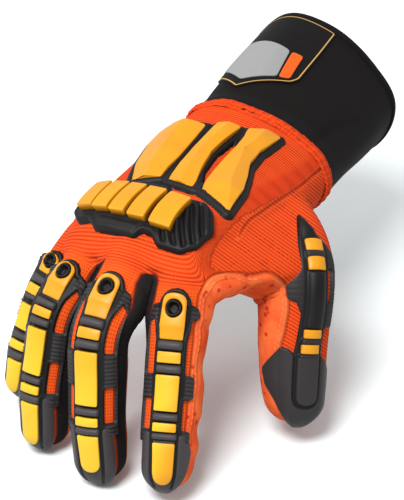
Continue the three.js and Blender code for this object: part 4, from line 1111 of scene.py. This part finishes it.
def add_cap(name, sweep, shift, outline, strip, bar_end=None, shade=0.9):
    """A cap over a tip; its outline is given from the guard's middle, and runs on past the tip."""
    girth = sweep_width(name) / 2
    start, end = min(s for s, _ in outline) - 1.2, sweep.to - 0.35
    u = np.concatenate([np.linspace(0, 0.86, 90)[:-1], 0.86 + 0.14 * np.sin(np.linspace(0, math.pi / 2, 24))])
    U, V = np.meshgrid(u, np.linspace(-1, 1, 241), indexing="ij")
    s, side = start + U * (end - start), V * CAP_REACH * girth
    edge = inside(rounded(outline, 0.8), s, side)
    rise = 1.9 - 1.0 * np.clip((np.abs(side) - 7.6) / 5, 0, 1)
    if bar_end:
        ring = inside(rounded([(start - 4, -strip), (start - 4, strip), (bar_end, strip),
                               (bar_end, -strip)], [0.1, 0.1, strip, strip]), s, side)
        rise = rise + 1.7 * shoulder(ring, 1.2)
    else:
        ring = np.where(s < sweep.to - 2.5, strip - np.abs(side), 9.0)
    groove = smooth(1.1, 0.5, np.abs(ring + 0.8))
    rise = UNDER + (rise - 0.7 * groove - UNDER) * shoulder(edge + 0.3, 0.9)
    turn = V * CAP_REACH + shift / girth
    if bar_end:
        rise = rise + thumb_swell(sweep.point(s, turn, 0.0).reshape(-1, 3)).reshape(s.shape)
    points = sweep.point(s, turn, rise).reshape(-1, 3)
    near = edge > -1.4
    quads = grid_faces(*s.shape, keep=near[:-1, :-1] | near[1:, :-1] | near[:-1, 1:] | near[1:, 1:])
    used, index = np.unique(quads, return_inverse=True)
    quads, flat = index.reshape(quads.shape).tolist(), np.stack([s, side, rise], -1).reshape(-1, 3)[used]
    quads = wound_out(points[used], quads, sweep, *(flat[quads[len(quads) // 2][0], :2] + (0, shift)))
    # Painted shade: in the groove beside the strip the cap's grey gives way to near-black.
    return add_piece(name + "_tip_cap_moulding", points[used], quads, [name + "_tip_cap"],
                     grey_rubber, flat=flat,
                     fields={"highlight_and_grey": (shade - shade * groove).ravel()[used]})


def sweep_width(name):
    return FINGERS.get(name, THUMB)["width"]


for name, sweep in fingers.items():
    bar, k, tip = PLACES[name][10], finger_scale(name), sweep.to + 6
    outline = [(bar + 1.6, -4.6), (bar - 2, -7), (bar - 2.5, -12), (tip, -13), (tip, 13), (bar + 6, 12.4),
               (bar - 1.5, 11), (bar - 1, 7), (bar + 1.6, 4.6)]
    if name == "index":
        outline[4:7] = [(tip, 9), (98, 14.6), (93.5, 15.4), (86.2, 11.5)]
    add_cap(name, sweep, GUARD_SHIFT, [(s, a * k) for s, a in outline], PAD_HALF * k)
print("caps on", list(fingers))

# %% [markdown]
# ## Thumb guard
# The thumb's guard starts in a spike, carries two pairs of yellow bands with a long half-round black
# bar between them, and has flanges on its outer side with orange showing through. It drifts towards
# the index finger as it nears the tip, so its outline is laid out straight and then shifted. Its cap
# ends in a corner on the suede's side and carries a bar that runs on from the guard.

# %% Add the thumb guard, its bands and its cap
THUMB_STRIP = 4.1
THUMB_BANDS = ((42.7, 1.9), (48.4, 2.0), (75.3, 2.1), (82.8, 2.3))


def thumb_shift(s):
    return 1.0 - 2.2 * smooth(60, 93, s)


THUMB_OUTLINE = [(28.5, -1.6), (35, 0), (38.5, 3.6), (44, 10.5), (47.5, 11.2), (60, 10.6), (70, 10.4),
                 (73, 10.2), (76, 7.4), (88, 7.4),
                 (88, -7), (78, -6.4), (66, -6.6), (61.5, -9), (60, -15.5), (57, -18), (54.8, -17),
                 (52.6, -11), (50, -7.6), (41, -6.6), (36, -5), (30.5, -3)]
THUMB_WINDOWS = [rounded([(49.5, 6.2), (49.5, 9.6), (61, 9.2), (61, 6.2)], 1),
                 rounded([(72.5, 6.2), (72.5, 12), (86, 12), (86, 6.2)], 1)]


def thumb_depth(s, a):
    return np.minimum(inside(THUMB_OUTLINE, s, a),
                      -np.maximum(inside(THUMB_WINDOWS[0], s, a), inside(THUMB_WINDOWS[1], s, a)))


def thumb_bars(s, a):
    return np.maximum.reduce([bar_rise(s, a, middle, half, THUMB_STRIP + 0.5)
                              for middle, half in ((45.5, 1.5), (79, 2.0), (86.6, 1.6))])


def thumb_height(s, a):
    side = np.abs(a)
    rise = GUARD_TOP - 0.2 + 0.32 * np.sin(s * 2 * math.pi / 1.9) * smooth(5.8, 6.6, side)
    rise = np.maximum(rise, GUARD_TOP + 1.9 * smooth(29, 36, s) * smooth(42, 36,
        s) * shoulder(3.4 - np.abs(a + 0.8), 3.4))
    bar = smooth(50.2, 51.2, s) * smooth(73.2, 72.2, s)
    rise = np.maximum(rise, 1.3 + 2.9 * bar * np.sqrt(np.clip(1 - (a / (THUMB_STRIP + 0.3)) ** 2, 0, 1)))
    return np.maximum(rise, 1.4 + 2.4 * thumb_bars(s, a))


# The lighter grey on the thumb guard's bars and ribbed flanks is painted highlight.
raised_sheet("thumb_guard_moulding", thumb, (27, 88.5), (-19, 13), thumb_height, thumb_depth,
             ["thumb_guard"], black_rubber,
             shift=thumb_shift, fields={"highlight_and_grey": lambda s, a: 0.35 * smooth(0.3, 0.8, thumb_bars(s, a))
                                        + 0.25 * smooth(5.8, 6.6, np.abs(a))})
for i, (middle, half) in enumerate(THUMB_BANDS):
    shift = float(thumb_shift(middle))
    outline = box_outline(middle - half, middle + half, THUMB_STRIP, 0.7, shift)
    plain_pad(f"thumb_band_{i + 1}_moulding", thumb, outline,
              [(middle, shift - THUMB_STRIP + half), (middle, shift + THUMB_STRIP - half)],
              f"thumb_band_{i + 1}", top=3.9, crown=0.15, edge=0.45,
              shape=lambda s, a, shift=shift: -1.0 * ((a - shift) / THUMB_STRIP) ** 2)
tip = thumb.to + 6
add_cap("thumb", thumb, -1.2, [(87, -5), (83.5, -8), (82.5, -12), (93, -20.6), (101, -20), (110, -14.5),
                               (tip, -8), (tip, 13), (93, 14), (88.5, 9.5), (86.6, 5)],
        THUMB_STRIP + 0.3, bar_end=110, shade=0.5)
print("thumb guarded")

# %% [markdown]
# ## Guard on the back
# Three long yellow pads fan out over the back on one black moulding, with two lens-shaped slits that
# show the knit. Each pad has a ridge along its middle and a flat triangle at its knuckle end, so its
# height is a roof: how far a spot lies from the ridge, and from the end.

# %% Add the moulding on the back
BACK_PADS = {
    "right": ([(18, -2), (12.5, 11.8), (29.5, 13.2), (41, 17.5), (50.5, 24.2), (60.5, 30), (80.2, 36.8),
               (74, 16.2), (56, 10.2), (35.5, 4.6)],
              [(15.5, 5.2), (35, 9), (48, 16.4), (60, 22.5), (76, 33)]),
    "middle": ([(23, -15), (19.4, -5), (33.5, -3), (46, 0), (60, 6.2), (75, 13.2), (73.6, -3), (58, -6.2),
                (45, -9.6), (33, -12.6)],
               [(21.5, -10), (33, -7.8), (46, -4.8), (58, -0.4), (73.5, 5)]),
    "left": ([(28, -40), (25.2, -19.4), (38, -15.6), (55, -11), (73, -7), (80, -20.2), (62, -30), (45, -37)],
             [(27, -29), (40, -25.5), (55, -21), (70, -15), (77, -13.5)]),
}
BACK_OUTLINE = rounded([(24.5, -43), (19.5, -31), (13.5, -4), (8.6, 11.2), (12, 15.6), (35, 19.4),
                        (47.5, 26), (58.5, 33), (81, 40.6), (84.5, 36.5),
                        (79, 16), (79, 1), (78, -10), (83.5, -20.5), (64, -33.5), (46, -41)], 1.5)
BACK_SLITS = [rounded([(30.5, -15.2), (47.5, -8.8), (68, -3.6), (60, -7.6), (46, -11.6)], 0.6),
              rounded([(27.5, -0.6), (40, 5.2), (55, 9.6), (69, 14.2), (58, 6.4), (43, 0.8)], 0.6)]


def back_pads(s, a):
    return np.maximum.reduce([inside(outline, s, a) for outline, _ in BACK_PADS.values()])


def back_depth(s, a):
    slits = np.maximum(inside(BACK_SLITS[0], s, a), inside(BACK_SLITS[1], s, a))
    return np.minimum(np.minimum(inside(BACK_OUTLINE, s, a), back_pads(s, a) + 2.7), -slits)


def back_height(s, a):
    pads = back_pads(s, a)
    return 2.0 + 0.7 * smooth(2.4, 1.2, np.minimum(-pads, 9)) * (pads < 0.4)


raised_sheet("back_guard_moulding", palm, (7, 86), (-45, 43), back_height, back_depth, ["back_guard"],
             black_rubber, cell=0.6)
for side, (corners, ridge) in BACK_PADS.items():
    outline = rounded(corners, 0.9)
    core = towards(outline, ridge)
    roof = lambda s, a, ridge=ridge: 2.2 - 0.32 * np.minimum(np.linalg.norm(np.stack([s, a], -1)
        - towards(np.stack([s, a], -1), ridge), axis=-1), 10)
    ends = lambda s, a, roof=roof, top=min(c[0] for c in corners), low=max(c[0] for c in corners): (
        roof(s, a) - 0.9 * smooth(top + 9, top, s) - 0.17 * np.maximum(s - low + 15, 0))
    piece = raised_pad(f"back_pad_{side}_moulding", palm, outline, core, 1.2, 4.3, [f"back_pad_{side}"],
                       "yellow_rubber",
                       yellow_rubber, edge=0.4, crown=0.0, shape=ends, rings=12)
    piece.data.polygons.foreach_set("use_smooth", [False] * len(piece.data.polygons))
print("back guard on")

# %% [markdown]
# ## Knuckle guard
# A thick black plate bridges the knuckles, with a ribbed end towards the thumb, a tab at its upper
# edge and a bare bar along its lower one. Five plain yellow bars stand on it. They are set side by
# side, lean a little, and have the same sharp sides as the other pads. The last one is the widest.

# %% Add the knuckle guard and its bars
KNUCKLE_OUTLINE = rounded([(84.5, 27.5), (88.5, 34.5), (97, 41.8), (105.5, 39.5), (109.8, 33.5), (110, 22),
                           (106.8, 17), (106.6, 11), (109.3, 9), (108.6, -15),
                           (105.6, -20), (105.8, -29), (102.5, -34.5), (92, -37), (84.5, -28), (84, -12.5),
                           (88.6, -8.5), (83, -7), (83.4, 9), (88.6, 12), (86.8, 21)], 1.2)
KNUCKLE_BARS = [(-26.5, 1.5, 4.4), (-16, 1.0, 4.4), (-5.5, 1.0, 4.4), (5.6, 1.5, 4.8),
                (18.4, 2.0, 5.4)]  # middle, lean, half its width


def knuckle_height(s, a):
    d = inside(KNUCKLE_OUTLINE, s, a)
    rise = 3.2 + 0.5 * smooth(1.7, 1.1, d)
    wave = np.sin((a - 0.9 * (s - 97)) * 2 * math.pi / 5.2)
    rise = rise + 1.3 * wave * smooth(19, 21, a) * smooth(1.2, 2.2, d)
    label = inside(rounded([(104.6, -14), (105.4, 8.6), (108, 8), (107.6, -13)], 0.6), s, a)
    rise = rise + 0.8 * smooth(-0.3, 0.3, label)
    tab = inside(rounded([(83.6, -6), (83.9, 8), (88.6, 9.6), (88.2, -5.4)], 0.8), s, a)
    return rise + 2.2 * shoulder(tab, 0.9)


raised_sheet("knuckle_guard_moulding", palm, (83, 111.5), (-39, 44), knuckle_height,
             lambda s, a: inside(KNUCKLE_OUTLINE, s, a),
             ["knuckle_guard"], black_rubber, cell=0.5)
for i, (middle, lean, half) in enumerate(KNUCKLE_BARS):
    top, low = 89.6 + 0.05 * middle, 103.6 + 0.06 * middle
    corners = [(top, middle - half), (top, middle + half), (low, middle + half + lean),
               (low, middle - half + lean)]
    outline = rounded(corners, 0.8)
    core = towards(outline, [(top + 4.4, middle), (low - 4.4, middle + lean)])
    raised_pad(f"knuckle_bar_{i + 1}_moulding", palm, outline, core, 2.4, 7.2, [f"knuckle_bar_{i + 1}"],
               "yellow_rubber", yellow_rubber,
               edge=0.4, crown=0.0)
print("knuckle guard on")

# %% [markdown]
# ## Cuff and hem
# The cuff is foam-backed cloth, so it flares in one smooth sheet with soft dents, and its mouth is
# bound with folded tape. A rolled orange hem covers the seam at the wrist. The cuff is a closed loop
# of outer and inner cloth, with the dents moved into the outer and inner side alike.

# %% Add the cuff, its edge tape and the hem
def dents(s, turn):
    """How far the cloth is pushed in, by place round the cuff."""
    crease = 1.5 * np.exp(-((turn - math.radians(38) - 0.004 * (s - 30)) / 0.10) ** 2) * smooth(-4, 8,
        s) * smooth(62, 30, s)
    saddle = 1.3 * np.exp(-((s - 14) / 6.5) ** 2) * np.clip(np.cos(turn + 0.3), 0, 1) ** 1.5
    wave = 0.7 * np.sin(turn * 3 + 0.6) * smooth(20, 80, s) + 0.35 * np.sin(turn * 7 + s / 19) * smooth(5,
        60, s)
    return crease + saddle + wave


def loop_solid(name, sweep, outline, nodes, material, sides=240, push=None):
    turns = np.linspace(0, 2 * math.pi, sides, endpoint=False)
    s, height = np.array(outline, float).T
    S, T = np.meshgrid(s, turns, indexing="ij")
    H = np.repeat(height[:, None], sides, 1) - (push(S, T) if push else 0)
    points = sweep.point(S, T, H).reshape(-1, 3)
    rows = len(outline)
    faces = grid_faces(rows, sides, loop=True).tolist()
    faces += [[(rows - 1) * sides + j, (rows - 1) * sides + (j + 1) % sides, (j + 1) % sides, j]
              for j in range(sides)]
    mid = faces[sides * (rows // 4)]
    a, b, c = points[mid[0]], points[mid[1]], points[mid[2]]
    radius = np.linalg.norm(points.reshape(rows, sides, 3) - points.reshape(rows, sides, 3).mean(1,
        keepdims=True), axis=-1)
    flat = np.stack([S, np.where(T > math.pi, T - 2 * math.pi, T) * radius, H], -1).reshape(-1, 3)
    flipped = np.dot(np.cross(b - a, c - a),
                     sweep.outward(np.array([S.ravel()[mid[0]]]), np.array([T.ravel()[mid[0]]]))[0]) < 0
    return add_piece(name, points, [f[::-1] for f in faces] if flipped else faces, nodes, material,
                     flat=flat)


reach = np.linspace(-5, CUFF_LENGTH, 70)
outline = [(s, 0) for s in reach] + [(s, -CUFF_WALL) for s in reach[::-1]]
loop_solid("cuff_cloth", cuff, outline, ["cuff"], foam_cloth, push=dents)
start, end = CUFF_LENGTH - 0.1, CUFF_LENGTH + BINDING_LENGTH
tape = [(start - 1.2, 0.1), (start - 0.9, BINDING_LIP), (start + 1, BINDING_LIP + 0.1),
        (end - 1.4, BINDING_LIP), (end - 0.4, 0.3), (end, -CUFF_WALL / 2),
        (end - 0.4, -CUFF_WALL - 0.3), (end - 1.4, -CUFF_WALL - BINDING_LIP),
        (start - 0.9, -CUFF_WALL - BINDING_LIP), (start - 1.2, -CUFF_WALL - 0.1)]
loop_solid("cuff_binding_tape", cuff, tape, ["cuff_binding"], edge_tape, push=dents)
roll = [(2.0 - 3.2 * math.cos(t), 0.2 + 1.3 * math.sin(t) * (1 if t < math.pi else 0.4))
        for t in np.linspace(0, 2 * math.pi, 33)[:-1]]
roll = [(s, h - 0.55 * math.exp(-((s - 2.6) / 0.5) ** 2) * (h > 0.4)) for s, h in roll]
loop_solid("wrist_hem_roll", palm, roll, ["wrist_hem"], hem_knit,
           push=lambda s, t: 0.22 * np.sin(t * 46 + np.sin(t * 5) * 2) * smooth(-2, 1, s)
           - 0.35 * np.sin(t * 9 + 1))
print("cuff, tape and hem on")

# %% [markdown]
# ## Label on the cuff
# The cuff carries a smooth black panel with a thin gold line round it, a silver window and a small
# orange block. Each is its own thin film with rounded edges. A drawn line would need a strip of mesh
# round every corner, so the gold is painted where the distance to the panel's edge says so.

# %% Add the label
LABEL = [(95.5, -52), (94.5, -10.5), (42, -5), (36, -7), (17.5, -29.5), (37, -51)]
WINDOW = [(68, -47.5), (59.5, -20.2), (35.2, -14.8), (24.8, -29.5), (40, -46)]
BLOCK = [(59.6, -19), (60.4, -13), (38.2, -9), (35.4, -14)]


def film(name, colour, roughness, metal=0.0, lined=False):
    finish = Finish(name)
    grain = finish.noise(260.0, 3.0)
    shade = finish.mix(grain * 0.5, colour, tuple(c * 0.82 for c in colour))
    if lined:
        edge = finish.field("edge")
        line = finish.step(edge, 0.75, 0.95) * (1 - finish.step(edge, 1.35, 1.55))
        shade = finish.mix(line, shade, paint(214, 170, 96))
    finish.set(Base_Color=shade, Roughness=grain * 0.12 + roughness, Metallic=metal,
               Specular_IOR_Level=0.08, Normal=finish.bump(grain, 0.2, 0.0002))
    return finish.material


label_print = film("label_print", paint(18, 15, 16), 0.6, lined=True)
silver_film = film("silver_film", paint(158, 158, 159), 0.42, 0.1)
orange_film = film("orange_film", paint(238, 98, 28), 0.5)


def add_film(name, corners, low, top, node, slot, material, inset=None):
    """A thin film on the cuff; its rings close on a short line, or on one set in from both its ends."""
    outline = rounded(corners, 2.0)
    s, across = outline.mean(0)
    ends = (outline[:, 0].min() + inset[0], outline[:, 0].max() - inset[1]) if inset else (s - 6, s + 6)
    core = towards(outline, [(ends[0], across), (ends[1], across)])
    piece = raised_pad(name, cuff, outline, core, low, top, [node], slot, material, edge=0.25, crown=0.0,
                       rings=14,
                       shape=lambda s, a: -dents(s, cuff.turn_across(s, a)))
    flat = np.zeros(len(piece.data.vertices) * 3)
    piece.data.attributes["flat"].data.foreach_get("vector", flat)
    flat = flat.reshape(-1, 3)
    piece.data.attributes.new("edge", "FLOAT", "POINT").data.foreach_set("value",
        np.abs(inside(outline, flat[:, 0], flat[:, 1])).astype(np.float32))
    return piece


add_film("cuff_label_panel", LABEL, -1.5, 0.9, "cuff_label", "label_print", label_print, inset=(14, 18))
add_film("label_window_film", WINDOW, 0.2, 1.5, "label_window", "silver_film", silver_film)
add_film("label_block_film", BLOCK, 0.2, 1.5, "label_block", "orange_film", orange_film)
print("label on")

# %% [markdown]
# ## Floor, light and camera
# The glove stands on its fingertips on a pale floor. A soft light from above and in front gives the
# pads their bright tops and a soft shadow under the palm, a weaker one fills in from the left, and a
# long lens from a metre away keeps the shape undistorted.

# %% Add the floor
def floor_finish():
    finish = Finish("pale_floor")
    finish.set(Base_Color=finish.mix(finish.noise(3.0, 2.0), (0.56, 0.588, 0.594), (0.58, 0.608, 0.614)),
               Roughness=0.8,
               Specular_IOR_Level=0.1)
    return finish.material


bpy.context.view_layer.update()
low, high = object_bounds()
floor_mesh = bpy.data.meshes.new("floor")
sheet = bmesh.new()
bmesh.ops.create_grid(sheet, x_segments=8, y_segments=8, size=3.0)
sheet.to_mesh(floor_mesh)
sheet.free()
floor_mesh.materials.append(floor_finish())
floor = bpy.data.objects.new("floor", floor_mesh)
floor.location = (0, 0, low.z - 0.0005)
bpy.context.scene.collection.objects.link(floor)
print("floor at", round(floor.location.z, 4))

# %% Add the lights
world = bpy.data.worlds.new("studio")
bpy.context.scene.world = world
world.use_nodes = True
world.node_tree.nodes["Background"].inputs["Color"].default_value = (1, 1, 1, 1)
world.node_tree.nodes["Background"].inputs["Strength"].default_value = 0.95
bpy.context.scene.view_settings.view_transform = "Standard"


def soft_light(name, spot, aim, size, power):
    lamp = bpy.data.lights.new(name, "AREA")
    lamp.shape, lamp.size, lamp.energy = "DISK", size, power
    holder = bpy.data.objects.new(name, lamp)
    holder.location = spot
    holder.rotation_euler = (Vector(aim) - Vector(spot)).to_track_quat("-Z", "Y").to_euler()
    bpy.context.scene.collection.objects.link(holder)
    return holder


soft_light("key_light", (0.2, -1.0, 1.25), (0.03, -0.12, -0.02), 0.7, 42)
soft_light("fill_light", (-0.9, -0.7, 0.9), (0.03, -0.12, -0.02), 1.0, 10)

# %% Add the camera
AZIMUTH, ELEVATION, LONG_SIDE, FOCUS = math.radians(35.6), math.radians(29.0), 500, 2400
back = Vector((math.sin(AZIMUTH) * math.cos(ELEVATION), -math.cos(AZIMUTH) * math.cos(ELEVATION),
               math.sin(ELEVATION)))
right = Vector((math.cos(AZIMUTH), math.sin(AZIMUTH), 0))
up = back.cross(right)
camera = bpy.data.cameras.new("camera")
camera.sensor_fit, camera.sensor_width, camera.lens = "AUTO", 36, 36 * FOCUS / LONG_SIDE
camera.clip_start, camera.clip_end = 0.1, 20
holder = bpy.data.objects.new("camera", camera)
wrist = Vector(POSE @ -MOUTH) * MM
holder.matrix_world = Matrix.Translation(wrist
                                         + (back * 1195.4 - right * 24.1 - up * 45.2)
                                         * MM) @ Matrix((right, up, back)).transposed().to_4x4()
bpy.context.scene.collection.objects.link(holder)
bpy.context.scene.camera = holder
print("camera at", [round(v, 3) for v in holder.location])

# %% [markdown]
# ## Last update
# The dressed glove has to keep the size of its solids; the last cell only brings the scene up to date.

# %% Update the scene
bpy.context.view_layer.update()
